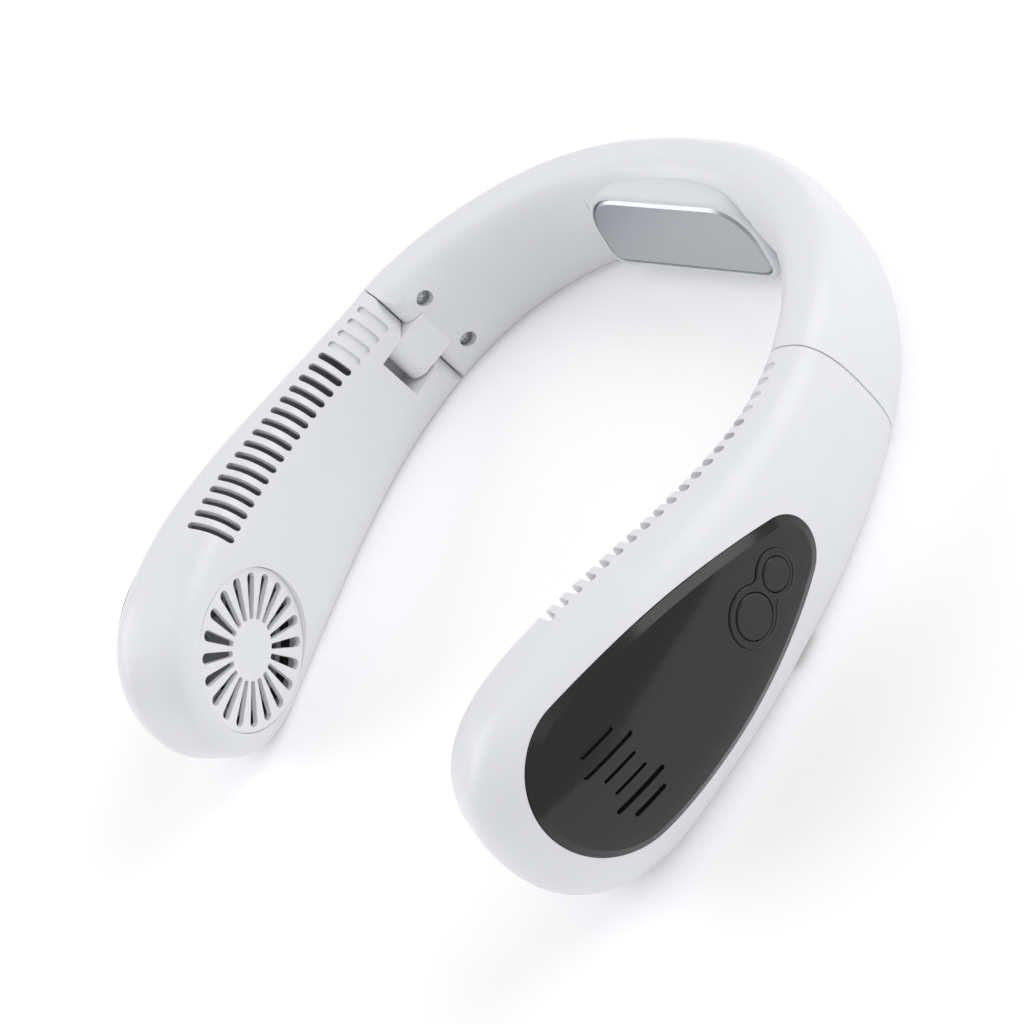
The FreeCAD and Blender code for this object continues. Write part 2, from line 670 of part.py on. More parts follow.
def cell_box(grow):
    """Room that the battery cell takes, with a gap of grow all round."""
    half_length = mm("cell_length") / 2 + grow
    half_thickness = mm("cell_thickness") / 2 + grow
    half_width = mm("cell_width") / 2 + grow
    middle, drop = -mm("cell_depth"), -mm("cell_drop")
    return block(CELL, (-half_length, half_length), (middle - half_thickness, middle + half_thickness),
                 (drop - half_width, drop + half_width))


def cell_ribs(envelope):
    """Two ribs of the inner shell with a cut-out for the battery cell."""
    half, overrun = mm("rib_thickness") / 2, mm("overrun")
    ribs = []
    for middle in (-mm("rib_spacing") / 2, mm("rib_spacing") / 2):
        slab = block(CELL, (middle - half, middle + half), (-overrun, overrun), (-overrun, mm("rib_top")))
        ribs.append(slab.common(envelope).cut(cell_box(mm("fit_gap"))))
    return ribs


def blower_posts(envelope):
    """Posts of the outer shell behind the blower's deck."""
    posts = []
    for index in range(POST_COUNT):
        angle = 2 * math.pi * index / POST_COUNT
        radius, level = mm("post_circle"), mm("deck_level") + mm("deck_thickness")
        foot = FAN.at(radius * math.cos(angle), level, radius * math.sin(angle))
        posts.append(rod(foot, FAN.out, mm("post_radius"), mm("overrun")).common(envelope))
    return posts


# Accent panel and buttons

PANEL = station(TIP - mm("panel_setback"))


def panel_axes():
    """Axes of the accent panel in its plane: along its middle line and across it."""
    tilt = math.radians(PANEL_TILT)
    along = PANEL.along * math.cos(tilt) + PANEL.up * math.sin(tilt)
    return along, PANEL.along * -math.sin(tilt) + PANEL.up * math.cos(tilt)


def panel_point(x, y):
    along, across = panel_axes()
    return PANEL.at(0.0, 0.0, mm("panel_lift")) + along * x + across * y


def panel_prism(grow):
    """Prism of the teardrop outline: four arcs, each tangent to the next, grown by grow."""
    front, back = mm("panel_front_centre"), -mm("panel_back_centre")
    front_radius, back_radius = mm("panel_front_radius") + grow, mm("panel_back_radius") + grow
    side_radius = mm("panel_side_radius") + grow
    to_back, to_front, span = side_radius - back_radius, side_radius - front_radius, front - back
    reach = (to_back ** 2 - to_front ** 2 + span ** 2) / (2 * span)
    drop = math.sqrt(to_back ** 2 - reach ** 2)
    side_x = back + reach

    def tangent(centre, radius):
        scale = radius / math.hypot(centre - side_x, drop)
        return centre + (centre - side_x) * scale, drop * scale

    front_x, front_y = tangent(front, front_radius)
    back_x, back_y = tangent(back, back_radius)
    crown = side_radius - drop
    arcs = [
        ((back_x, back_y), (side_x, crown), (front_x, front_y)),
        ((front_x, front_y), (front + front_radius, 0.0), (front_x, -front_y)),
        ((front_x, -front_y), (side_x, -crown), (back_x, -back_y)),
        ((back_x, -back_y), (back - back_radius, 0.0), (back_x, back_y)),
    ]
    edges = [Part.Arc(*(panel_point(x, y) for x, y in arc)).toShape() for arc in arcs]
    return Part.Face(Part.Wire(edges)).extrude(PANEL.out * mm("overrun"))


def panel_rim(panel, floor):
    """Edges round the accent panel's face: those of its sides that lie above the floor."""
    rim = []
    for side in (face for face in panel.Faces if face.Surface.TypeId == "Part::GeomCylinder"):
        for edge in side.Edges:
            middle = edge.valueAt((edge.FirstParameter + edge.LastParameter) / 2)
            if edge.Curve.TypeId != "Part::GeomLine" and not floor.isInside(middle, TOLERANCE, True):
                rim.append(edge)
    return rim


def panel_grooves(floor):
    """Six grooves across the wide end, long and short, the middle two fine."""
    along, across = panel_axes()
    grooves = [("slot_short", "slot_width"), ("slot_long", "slot_width"), ("slot_short", "slot_fine_width")]
    grooves += grooves[::-1]
    cuts = []
    for index, (length, width) in enumerate(grooves):
        offset = (index - (len(grooves) - 1) / 2) * mm("slot_pitch")
        centre = panel_point(mm("panel_front_centre"), offset)
        groove = stadium(centre, along, across, mm(length), mm(width), PANEL.out * mm("overrun"))
        cuts.append(groove.cut(floor))
    return cuts


def control_frame():
    """Frame on the shell's face between the two buttons, square to the face."""
    s = TIP - mm("control_setback")
    frame = station(s)
    spacing = mm("button_spacing")
    rise = half_size(s + spacing / 2, "thickness") - half_size(s - spacing / 2, "thickness")
    origin = frame.at(0.0, half_size(s, "thickness"), mm("control_lift"))
    along = (frame.along + frame.out * (rise / spacing)).normalize()
    out = (frame.out - frame.along * (rise / spacing)).normalize()
    return Frame(origin, along, out, frame.up)


CONTROL = control_frame()
BUTTONS = {"power": mm("button_spacing") / 2, "cooling": -mm("button_spacing") / 2}


def button_rods(grow, start):
    """Rods along the two buttons, grown by grow, from start outwards."""
    return [rod(CONTROL.at(place, start), CONTROL.out, mm(f"{name}_radius") + grow, mm("overrun"))
            for name, place in BUTTONS.items()]


def bezel_column(grow):
    """Column of the bezel's figure-eight outline, grown by grow, with a rounded waist."""
    rods = button_rods(mm("button_gap") + mm("bezel_width") + grow, -mm("wall"))
    column = rods[0].fuse(rods[1]).removeSplitter()
    waist = [edge for edge in column.Edges if edge.Curve.TypeId == "Part::GeomLine"
             and len(column.ancestorsOfType(edge, Part.Face)) > 1]
    return column.makeFillet(mm("bezel_waist"), waist)


def button_bezel(skin, floor):
    """Raised figure-eight rim round the buttons."""
    plate = bezel_column(0.0).common(skin).cut(floor)
    return plate.cut(button_rods(mm("button_gap"), -mm("button_skirt")))


def socket_opening():
    gap = mm("fit_gap")
    half_width = mm("usb_width") / 2 + gap
    board = -mm("board_depth")
    return block(CONTROL, (-half_width, half_width), (board - gap, board + mm("usb_height") + gap),
                 (-mm("usb_reach") - mm("overrun"), mm("usb_length") / 2 - mm("usb_reach")))


def board_posts(envelope):
    """Posts of the outer shell that carry the control board."""
    posts = []
    for along in (-mm("board_length") / 2 + mm("post_radius"), mm("board_length") / 2 - mm("post_radius")):
        foot = CONTROL.at(along, -mm("board_depth"), -mm("board_drop"))
        posts.append(rod(foot, CONTROL.out, mm("post_radius"), mm("overrun")).common(envelope))
    return posts


def make_arms():
    """Shells, accent panels and bezel of both arms."""
    form = above_rest(arm_form(SEAM + mm("seam_gap") / 2, 0.0))
    shell = form.cut(arm_form(CAVITY_START, mm("wall")))
    middle_wall = arm_form(CAVITY_START, mm("wall") / 2)
    breaks = [SEAM - mm("end_block"), SEAM, SEAM + mm("root_arc_length"), TIP + mm("overrun")]
    inner_half = plan_region(breaks, -mm("overrun"), -mm("hinge_depth"))

    common_cuts = hinge_cuts() + vent_cuts()
    inner = shell.common(inner_half)
    for added in [grille_ring(form)] + [rib.common(inner_half) for rib in cell_ribs(middle_wall)]:
        inner = inner.fuse(added)
    inner = inner.cut(common_cuts + grille_cuts())

    panel_floor = arm_form(CAVITY_START, mm("panel_sunk"))
    groove_floor = arm_form(CAVITY_START, mm("groove_floor"))
    panel = panel_prism(0.0).common(arm_form(CAVITY_START, -mm("panel_proud"))).cut(panel_floor)
    rim = panel_rim(panel, groove_floor)
    panel = panel.makeChamfer(mm("panel_bevel_height"), mm("panel_bevel_width"), rim)
    panel = panel.cut(panel_grooves(groove_floor))
    recess = panel_prism(mm("fit_gap")).cut(panel_floor)
    outer = shell.cut(inner_half)
    for post in blower_posts(middle_wall):
        outer = outer.fuse(post)
    outer = outer.cut(common_cuts + [recess])

    bezel = button_bezel(arm_form(CAVITY_START, -mm("bezel_proud")), groove_floor)
    bezel_seat = bezel_column(mm("fit_gap")).cut(groove_floor)
    holes = button_rods(mm("button_gap"), -mm("button_skirt"))
    left_outer = outer
    for post in board_posts(middle_wall):
        left_outer = left_outer.fuse(post.cut(recess))
    left_outer = left_outer.cut(holes + [socket_opening()])

    add_feature("arm_inner_shell_left", inner)
    add_feature("arm_inner_shell_right", mirrored(inner, RIGHT))
    add_feature("arm_outer_shell_left", left_outer)
    add_feature("arm_outer_shell_right", mirrored(outer, RIGHT))
    add_feature("accent_panel_left", panel.cut([bezel_seat] + holes))
    add_feature("accent_panel_right", mirrored(panel, RIGHT))
    add_feature("button_bezel", bezel)


# Bridge and hinges

PAD_LEAN = math.radians(PAD_TILT)
PAD = Frame(
    Vector(0, BACK_Y - mm("pad_forward"), mm("pad_centre")),
    Vector(1, 0, 0),
    Vector(0, -math.cos(PAD_LEAN), math.sin(PAD_LEAN)),
    Vector(0, math.sin(PAD_LEAN), math.cos(PAD_LEAN)),
)


def screw_seats():
    """Seats of the two screws of the left hinge, by name."""
    return {name: HINGE.at(-mm("screw_back"), -mm("screw_seat"), HINGE_UP + side * mm("screw_offset"))
            for name, side in (("upper", 1), ("lower", -1))}


def seam_roll(corner, run):
    """What a round edge takes off where the hinge flat, along run, meets the bridge's end at a corner."""
    overrun, radius = mm("overrun"), mm("hinge_roll")
    half_turn = (run * -1).getAngle(HINGE.out) / 2
    tangent = radius / math.tan(half_turn)
    start, end = corner - run * tangent, corner + HINGE.out * tangent
    bisector = (HINGE.out - run).normalize()
    middle = corner + bisector * (radius / math.sin(half_turn) - radius)
    past_end, past_start = end + HINGE.along * overrun, start - HINGE.out * overrun
    past_corner = past_end - HINGE.out * overrun
    corners = [end, past_end, past_corner, past_start, start]
    edges = [Part.Arc(start, middle, end).toShape()]
    edges += [Part.makeLine(first, last) for first, last in zip(corners, corners[1:])]
    return Part.Face(Part.Wire(edges)).extrude(Vector(0, 0, 2 * (overrun + mm("hinge_half_height"))))


def bridge_end_cuts():
    """What the left hinge takes out of the bridge: flat, round edge, knuckle pockets and screw heads."""
    overrun, gap = mm("overrun"), mm("fit_gap")
    seam_out = mm("hinge_flat_depth") - mm("hinge_half_thickness")
    flat_s = SEAM - mm("hinge_flat_reach")
    flat_start = station(flat_s).at(0.0, -half_size(flat_s, "thickness"))
    flat_end = HINGE.at(0.0, seam_out)
    flat_start.z = flat_end.z = -overrun
    run = (flat_end - flat_start).normalize()
    corner = flat_end - run * (mm("seam_gap") / 2 / run.dot(HINGE.along))
    past_end = flat_end + run * overrun
    flat = prism([flat_start, past_end, past_end - HINGE.out * overrun, flat_start - HINGE.out * overrun],
                 Vector(0, 0, 2 * (overrun + mm("hinge_half_height"))))

    half_width, radius = mm("knuckle_width") / 2 + gap, mm("knuckle_radius")
    up = (HINGE_UP - half_width, HINGE_UP + half_width)
    back = mm("hinge_depth") - radius - gap
    head = block(HINGE, (-mm("knuckle_neck"), overrun), (-overrun, -back), up)
    cover = mm("hinge_depth") + radius - mm("root_cover") + gap
    neck = -mm("knuckle_neck")
    root = block(HINGE, (neck - mm("knuckle_root") - gap, neck), (-cover, -back), up)
    heads = [rod(seat, HINGE.out * -1, mm("screw_head_radius") + mm("screw_gap"), overrun)
             for seat in screw_seats().values()]
    return [flat, seam_roll(corner, run), head, root] + heads


def bridge_screw_holes(gap):
    return [rod(seat, HINGE.out, mm("screw_radius") + gap, mm("screw_length"))
            for seat in screw_seats().values()]


def both_sides(shapes):
    return shapes + [mirrored(shape, RIGHT) for shape in shapes]


def make_bridge():
    """Shells of the bridge, and its plain outer form for the cooling pad's frame to meet."""
    form = above_rest(bridge_form(SEAM - mm("seam_gap") / 2, 0.0))
    shell = form.cut(bridge_form(SEAM - mm("end_block"), mm("wall")))
    breaks = [-SEAM, -mm("back_arc_length"), mm("back_arc_length"), SEAM]
    inner_half = plan_region(breaks, -mm("overrun"), -mm("hinge_depth"))
    gap = mm("fit_gap")
    half_width, half_height = mm("sink_width") / 2 + gap, mm("sink_height") / 2 + gap
    window = block(PAD, (-half_width, half_width), (-mm("overrun"), 0.0), (-half_height, half_height))
    half_width, half_height = mm("pad_width") / 2 - mm("pad_rim"), mm("pad_height") / 2 - mm("pad_rim")
    plate_low = mm("plate_proud") - mm("plate_thickness")
    plate_seat = block(PAD, (-half_width, half_width), (plate_low, mm("overrun")),
                       (-half_height, half_height))
    ends = both_sides(bridge_end_cuts())
    inner_cuts = ends + both_sides(bridge_screw_holes(gap)) + [window, plate_seat]
    add_feature("bridge_inner_shell", shell.common(inner_half).cut(inner_cuts))
    add_feature("bridge_outer_shell", shell.cut(inner_half).cut(ends + both_sides(bridge_screw_holes(0.0))))
    return add_feature("bridge_envelope", form)


def make_hinge(side):
    """Knuckle, screws and pin of one hinge."""
    name = SIDES[side]
    body = new_body(f"hinge_knuckle_{name}")
    radius, width = size("knuckle_radius"), size("knuckle_width")
    bottom = width * -0.5
    neck = -(size("hinge_reach") + size("knuckle_neck"))
    sketch = new_sketch(body, bottom)
    add_circle(sketch, radius)
    pad(body, sketch, width)
    sketch = new_sketch(body, bottom)
    add_rectangle(sketch, neck, ZERO, -radius, radius)
    pad(body, sketch, width)
    sketch = new_sketch(body, bottom)
    add_rectangle(sketch, neck - size("knuckle_root"), neck, size("root_cover") - radius, radius)
    pad(body, sketch, width)
    sketch = new_sketch(body, bottom)
    add_circle(sketch, size("pin_radius") + size("pin_gap"))
    pocket(body, sketch, width, up=True)
    pivot = HINGE.at(mm("hinge_reach"), -mm("hinge_depth"), HINGE_UP)
    place_facing(body, pivot, HINGE.along, HINGE.up * side, side)

    for place, seat in screw_seats().items():
        screw = new_body(f"hinge_screw_{name}_{place}")
        head, shank = size("screw_head_radius"), size("screw_radius")
        top, end = size("screw_head_height"), -size("screw_length")
        revolve(screw, [(ZERO, top), (head, top), (head, ZERO), (shank, ZERO), (shank, end), (ZERO, end)])
        place_facing(screw, seat, HINGE.along, HINGE.out * -1, side)

    pin = doc.addObject("Part::Cylinder", f"hinge_pin_{name}")
    pin.Label = f"hinge_pin_{name}"
    pin.setExpression("Radius", "sizes.pin_radius")
    pin.setExpression("Height", "sizes.pin_length")
    foot = pivot - HINGE.up * (mm("pin_length") / 2)
    pin.Placement = Placement(Vector(foot.x * side, foot.y, foot.z), FreeCAD.Rotation())


# Fan and battery of an arm

def outer_corner(edge):
    """True for an upright edge at the outer end of a grille slot."""
    middle = edge.CenterOfMass
    return upright(edge) and math.hypot(middle.x, middle.y) > mm("grille_slot_end")


def inner_corner(edge):
    """True for an upright edge at the inner end of a grille slot."""
    middle = edge.CenterOfMass
    reach = mm("grille_hub_radius") + mm("grille_slot_corner")
    return upright(edge) and math.hypot(middle.x, middle.y) < reach


def make_grille(side):
    body = new_body(f"intake_grille_{SIDES[side]}")
    face = size("grille_recess") - size("fan_half_thickness")
    sketch = new_sketch(body, face)
    add_circle(sketch, size("grille_radius"))
    pad(body, sketch, size("grille_thickness"))
    sketch = new_sketch(body, face)
    start, end = size("grille_hub_radius"), size("grille_slot_end")
    narrow, wide = size("grille_slot_narrow") * 0.5, size("grille_slot_wide") * 0.5
    add_polygon(sketch, [(start, -narrow), (end, -wide), (end, wide), (start, narrow)])
    slot = pocket(body, sketch, size("grille_thickness"), up=True)
    polar(body, [slot], GRILLE_SLOT_COUNT)
    soften(body, size("grille_slot_round"), outer_corner)
    soften(body, size("grille_slot_corner"), inner_corner)
    place_facing(body, FAN.origin, FAN.along, FAN.out, side)


def make_blower(side):
    """Turned housing with its outlet and motor seat, and the motor in it."""
    body = new_body(f"blower_housing_{SIDES[side]}")
    outside = size("blower_radius")
    inside = outside - size("blower_wall")
    deck, back = size("deck_level"), size("deck_level") + size("deck_thickness")
    foot = size("grille_recess") - size("fan_half_thickness") + size("grille_thickness") + size("grille_ring")
    hole = size("motor_radius") + size("fit_gap")
    revolve(body, [(hole, deck), (inside, deck), (inside, foot), (outside, foot), (outside, back),
                   (hole, back)])
    sketch = new_sketch(body, role="YZ_Plane")
    half = size("outlet_width") * 0.5
    add_rectangle(sketch, -half, half, foot + size("outlet_margin"), deck - size("outlet_margin"))
    pocket(body, sketch, size("overrun"))
    place_facing(body, FAN.origin, FAN.along, FAN.out, side)

    motor = new_body(f"fan_motor_{SIDES[side]}")
    drum, low = size("motor_radius"), deck - size("motor_height")
    flange, top = drum + size("motor_flange"), back + size("motor_flange")
    bore = size("shaft_radius") + size("shaft_gap")
    revolve(motor, [(ZERO, top), (flange, top), (flange, back), (drum, back), (drum, low), (bore, low),
                    (bore, back), (ZERO, back)])
    place_facing(motor, FAN.origin, FAN.along, FAN.out, side)


def make_impeller(side):
    """Hub over the motor with shaft and plate, a ring of curved blades and the shroud that ties them."""
    body = new_body(f"impeller_{SIDES[side]}")
    wall, gap, radius = size("rotor_wall"), size("rotor_gap"), size("impeller_radius")
    plate = size("deck_level") - gap
    ceiling = size("deck_level") - size("motor_height") - gap
    shaft, shaft_end = size("shaft_radius"), size("deck_level") + size("deck_thickness") - gap
    hub = size("motor_radius") + gap
    revolve(body, [(ZERO, shaft_end), (shaft, shaft_end), (shaft, ceiling), (hub, ceiling), (hub, plate),
                   (radius, plate), (radius, plate - wall), (hub + wall, plate - wall),
                   (hub + wall, ceiling - wall), (ZERO, ceiling - wall)])
    sketch = new_sketch(body, plate - size("impeller_height"))
    add_circle(sketch, radius)
    add_circle(sketch, radius - size("shroud_width"))
    pad(body, sketch, wall)

    sketch = new_sketch(body, plate - wall * 0.5)
    half = size("blade_thickness") * 0.5
    sides = [[(radius * (share * math.cos(turn)) - half * (side_sign * math.sin(turn)),
               radius * (share * math.sin(turn)) + half * (side_sign * math.cos(turn)))
              for share, turn in BLADE_SHARES] for side_sign in (-1, 1)]
    add_polygon(sketch, sides[0] + sides[1][::-1])
    blade = pad(body, sketch, size("impeller_height") - wall, down=True)
    polar(body, [blade], BLADE_COUNT)
    place_facing(body, FAN.origin, FAN.along, FAN.out, side)


def make_cell(side):
    body = new_body(f"battery_cell_{SIDES[side]}")
    sketch = new_sketch(body, size("cell_thickness") * -0.5)
    add_centred(sketch, size("cell_length"), size("cell_width"))
    pad(body, sketch, size("cell_thickness"))
    soften(body, size("cell_round"), upright)
    place_facing(body, CELL.at(0.0, -mm("cell_depth"), -mm("cell_drop")), CELL.along, CELL.out, side)


# Controls of the left arm

def make_button(name):
    """Turned cap with a retaining flange and a stem, and the tact switch under it."""
    body = new_body(f"{name}_button")
    radius, top, stem = size(f"{name}_radius"), size("button_proud"), size("stem_radius")
    ledge, flange = top - size("button_skirt"), size("button_flange")
    end = (size("switch_height") + size("plunger_height") + size("button_travel") + size("button_gap")
           - size("board_depth"))
    revolve(body, [(ZERO, top), (radius, top), (radius, ledge), (radius + flange, ledge),
                   (radius + flange, ledge - flange), (stem, ledge - flange), (stem, end), (ZERO, end)])
    soften(body, size("button_round"), at_level(top))
    place_facing(body, CONTROL.at(BUTTONS[name]), CONTROL.along, CONTROL.out)

    switch = new_body(f"{name}_switch")
    sketch = new_sketch(switch)
    add_centred(sketch, size("switch_side"), size("switch_side"))
    pad(switch, sketch, size("switch_height"))
    sketch = new_sketch(switch, size("switch_height"))
    add_circle(sketch, size("plunger_radius"))
    pad(switch, sketch, size("plunger_height"))
    place_facing(switch, CONTROL.at(BUTTONS[name], -mm("board_depth")), CONTROL.along, CONTROL.out)


def make_board():
    body = new_body("control_board")
    sketch = new_sketch(body)
    add_centred(sketch, size("board_length"), size("board_width"))
    pad(body, sketch, size("board_thickness"), down=True)
    place_facing(body, CONTROL.at(0.0, -mm("board_depth"), -mm("board_drop")), CONTROL.along, CONTROL.out)


def make_socket():
    """Charging socket on the board: a round-ended shell, mouth down, with a tongue inside."""
    body = new_body("usb_socket")
    width, height, corner = size("usb_width"), size("usb_height"), size("usb_corner")
    length, sheet_gauge = size("usb_length"), size("usb_shell")
    sketch = new_sketch(body)
    add_rounded(sketch, width, height, corner, corner)
    pad(body, sketch, length, down=True)
    sketch = new_sketch(body)
    inner = corner - sheet_gauge
    add_rounded(sketch, width - sheet_gauge * 2, height - sheet_gauge * 2, inner, inner)
    pocket(body, sketch, length - sheet_gauge)
    sketch = new_sketch(body, sheet_gauge - length)
    add_centred(sketch, size("usb_tongue_width"), size("usb_tongue"))
    pad(body, sketch, length - sheet_gauge - size("usb_tongue_depth"))
    mouth = CONTROL.at(0.0, mm("usb_height") / 2 - mm("board_depth"), -mm("usb_reach"))
    place_facing(body, mouth, CONTROL.along, CONTROL.up * -1)


# Cooling pad, stacked face to face behind its plate

def add_slab(label, width, height, top, thickness, corners=()):
    """Slab of the cooling stack, with its face at top in the pad's frame, square or with round corners."""
    body = new_body(label)
    sketch = new_sketch(body, top)
    if corners:
        add_rounded(sketch, width, height, *corners)
    else:
        add_centred(sketch, width, height)
    pad(body, sketch, thickness, down=True)
    place_facing(body, PAD.origin, PAD.along, PAD.out)
    return body


def make_cooling_pad(envelope):
    """Frame, plate, thermoelectric module and heat sink."""
    width, height, gap, plate_gap = size("pad_width"), size("pad_height"), size("fit_gap"), size("plate_gap")
    corners = (size("pad_crown"), size("pad_foot"))
    plate_top = size("plate_proud")
    plate_low = plate_top - size("plate_thickness")

    blank = add_slab("cooling_pad_blank", width, height, ZERO, size("pad_depth"), corners)
    soften(blank, size("pad_round"), at_level(ZERO))
    rim = size("pad_rim")
    sketch = new_sketch(blank)
    add_rounded(sketch, width - rim * 2, height - rim * 2, *(corner - rim for corner in corners))
    pocket(blank, sketch, -plate_low)
    sketch = new_sketch(blank)
    add_centred(sketch, size("cooler_width") + gap * 2, size("cooler_height") + gap * 2)
    pocket(blank, sketch, size("cooler_thickness") - plate_low)
    sketch = new_sketch(blank, plate_low - size("cooler_thickness"))
    add_centred(sketch, size("sink_width") + gap * 2, size("sink_height") + gap * 2)
    pocket(blank, sketch, size("overrun"))
    frame = doc.addObject("Part::Cut", "cooling_pad_frame")
    frame.Label = "cooling_pad_frame"
    frame.Base, frame.Tool = blank, envelope

    rim = rim + plate_gap
    plate = add_slab("cooling_plate", width - rim * 2, height - rim * 2, plate_top, size("plate_thickness"),
                     [corner - rim for corner in corners])
    soften(plate, size("plate_edge"), at_level(plate_top), "Chamfer")
    cooler = size("cooler_thickness")
    add_slab("peltier_module", size("cooler_width"), size("cooler_height"), plate_low, cooler)

    base = plate_low - cooler
    sink = add_slab("heat_sink", size("sink_width"), size("sink_height"), base, size("sink_base"))
    sketch = new_sketch(sink, base - size("sink_base"))
    left = size("sink_width") * -0.5
    half = size("sink_height") * 0.5
    add_rectangle(sketch, left, left + size("sink_fin"), -half, half)
    fin = pad(sink, sketch, size("sink_fin_height"), down=True)
    fins = sink.newObject("PartDesign::LinearPattern", "heat_sink_fins")
    fins.Originals = [fin]
    fins.Direction = (sketch, ["H_Axis"])
    fins.setExpression("Length", (size("sink_width") - size("sink_fin")).text)
    fins.Occurrences = FIN_COUNT
    sink.Tip = fins


def main():
    make_arms()
    envelope = make_bridge()
    for side in SIDES:
        make_hinge(side)
        make_grille(side)
        make_blower(side)
        make_impeller(side)
        make_cell(side)
    for name in BUTTONS:
        make_button(name)
    make_board()
    make_socket()
    make_cooling_pad(envelope)
    doc.recompute()

    for item in doc.Objects:
        if "Invalid" in item.State or "Error" in item.State:
            raise RuntimeError(f"{item.Label} failed: {item.State}")
    helpers = ("bridge_envelope", "cooling_pad_blank")
    kinds = ("PartDesign::Body", "Part::Feature", "Part::Cut", "Part::Cylinder")
    os.makedirs("parts", exist_ok=True)
    for item in doc.Objects:
        if item.TypeId not in kinds or item.Label in helpers:
            continue
        if item.Shape.isNull() or not item.Shape.isValid():
            raise RuntimeError(f"{item.Label} has no valid shape")
        item.Shape.exportStep(f"parts/{item.Label}.step")


main()
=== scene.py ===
"""Looks of the hinged neck fan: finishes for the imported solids, small fittings, stage, light and camera.

Everything is in metres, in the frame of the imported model: +Z up from the surface that the collar rests on,
the nape bridge at +Y, the arm tips towards -Y and the arm with the buttons at +X.
"""
from __future__ import annotations

import json
import logging
import math
from dataclasses import dataclass, field
from enum import Enum
from typing import Any, Protocol

import bpy
import numpy as np
from mathutils import Matrix, Vector


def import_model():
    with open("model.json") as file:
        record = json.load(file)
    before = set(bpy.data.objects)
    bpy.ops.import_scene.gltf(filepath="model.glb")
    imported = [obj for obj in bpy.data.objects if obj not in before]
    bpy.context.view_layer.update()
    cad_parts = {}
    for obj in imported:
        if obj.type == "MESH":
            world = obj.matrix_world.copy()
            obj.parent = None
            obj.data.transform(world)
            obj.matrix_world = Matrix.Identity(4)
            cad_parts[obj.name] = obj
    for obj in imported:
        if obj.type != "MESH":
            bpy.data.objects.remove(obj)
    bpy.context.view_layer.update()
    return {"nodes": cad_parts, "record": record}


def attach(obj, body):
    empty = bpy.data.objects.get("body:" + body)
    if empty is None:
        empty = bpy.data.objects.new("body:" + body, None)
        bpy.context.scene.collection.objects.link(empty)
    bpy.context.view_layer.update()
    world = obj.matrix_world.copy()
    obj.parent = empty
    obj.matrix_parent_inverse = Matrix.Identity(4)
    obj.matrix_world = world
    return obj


LOG = logging.getLogger("neck_fan")
MM = 0.001
SIDES = ("left", "right")
# Most values of a noise lie between these two, and the gloss is spread over them
NOISE_LOW, NOISE_HIGH = 0.3, 0.7
# Corners of loose triangles that are this close count as one point
WELD_MM = 0.002


def linear(code: str) -> tuple[float, float, float, float]:
    """Turns an sRGB hex colour into linear values.

    Args:
        code: Six hex digits with a leading number sign.

    Returns:
        Linear red, green and blue, and an alpha of 1.
    """
    parts = np.array([int(code[k:k + 2], 16) for k in (1, 3, 5)]) / 255.0
    values = np.where(parts <= 0.04045, parts / 12.92, ((parts + 0.055) / 1.055) ** 2.4)
    return (*(float(v) for v in values), 1.0)


def add_node(tree: bpy.types.NodeTree, kind: str, inputs: dict[str | int, Any] | None = None,
             **settings: Any) -> bpy.types.Node:
    """Adds one shader node with its settings and links.

    Args:
        tree: Node tree that gets the node.
        kind: Blender's name of the node's type.
        inputs: Value or output socket for each named or numbered input.
        settings: Properties of the node.

    Returns:
        The new node.
    """
    node = tree.nodes.new(kind)
    for name, value in settings.items():
        setattr(node, name, value)
    for key, value in (inputs or {}).items():
        if isinstance(value, bpy.types.NodeSocket):
            tree.links.new(value, node.inputs[key])
        else:
            node.inputs[key].default_value = value
    return node


def pattern_scale(spacing_mm: float) -> float:
    """Scale of a noise on Object coordinates whose features are this many millimetres apart."""
    return 1.0 / (spacing_mm * MM)


class Finish(Protocol):
    """Anything with a name that can make its own material."""

    @property
    def name(self) -> str:
        """The material's name."""

    def material(self) -> bpy.types.Material:
        """Makes the material, or returns it where it is made already."""


def start_material(name: str) -> tuple[bpy.types.Material, bpy.types.NodeTree, bpy.types.NodeSocket]:
    """Makes an empty node material.

    Args:
        name: The material's name.

    Returns:
        The material, its tree, and the Object coordinate that its patterns read.
    """
    material = bpy.data.materials.new(name)
    material.use_nodes = True
    tree = material.node_tree
    tree.nodes.clear()
    return material, tree, add_node(tree, "ShaderNodeTexCoord").outputs["Object"]


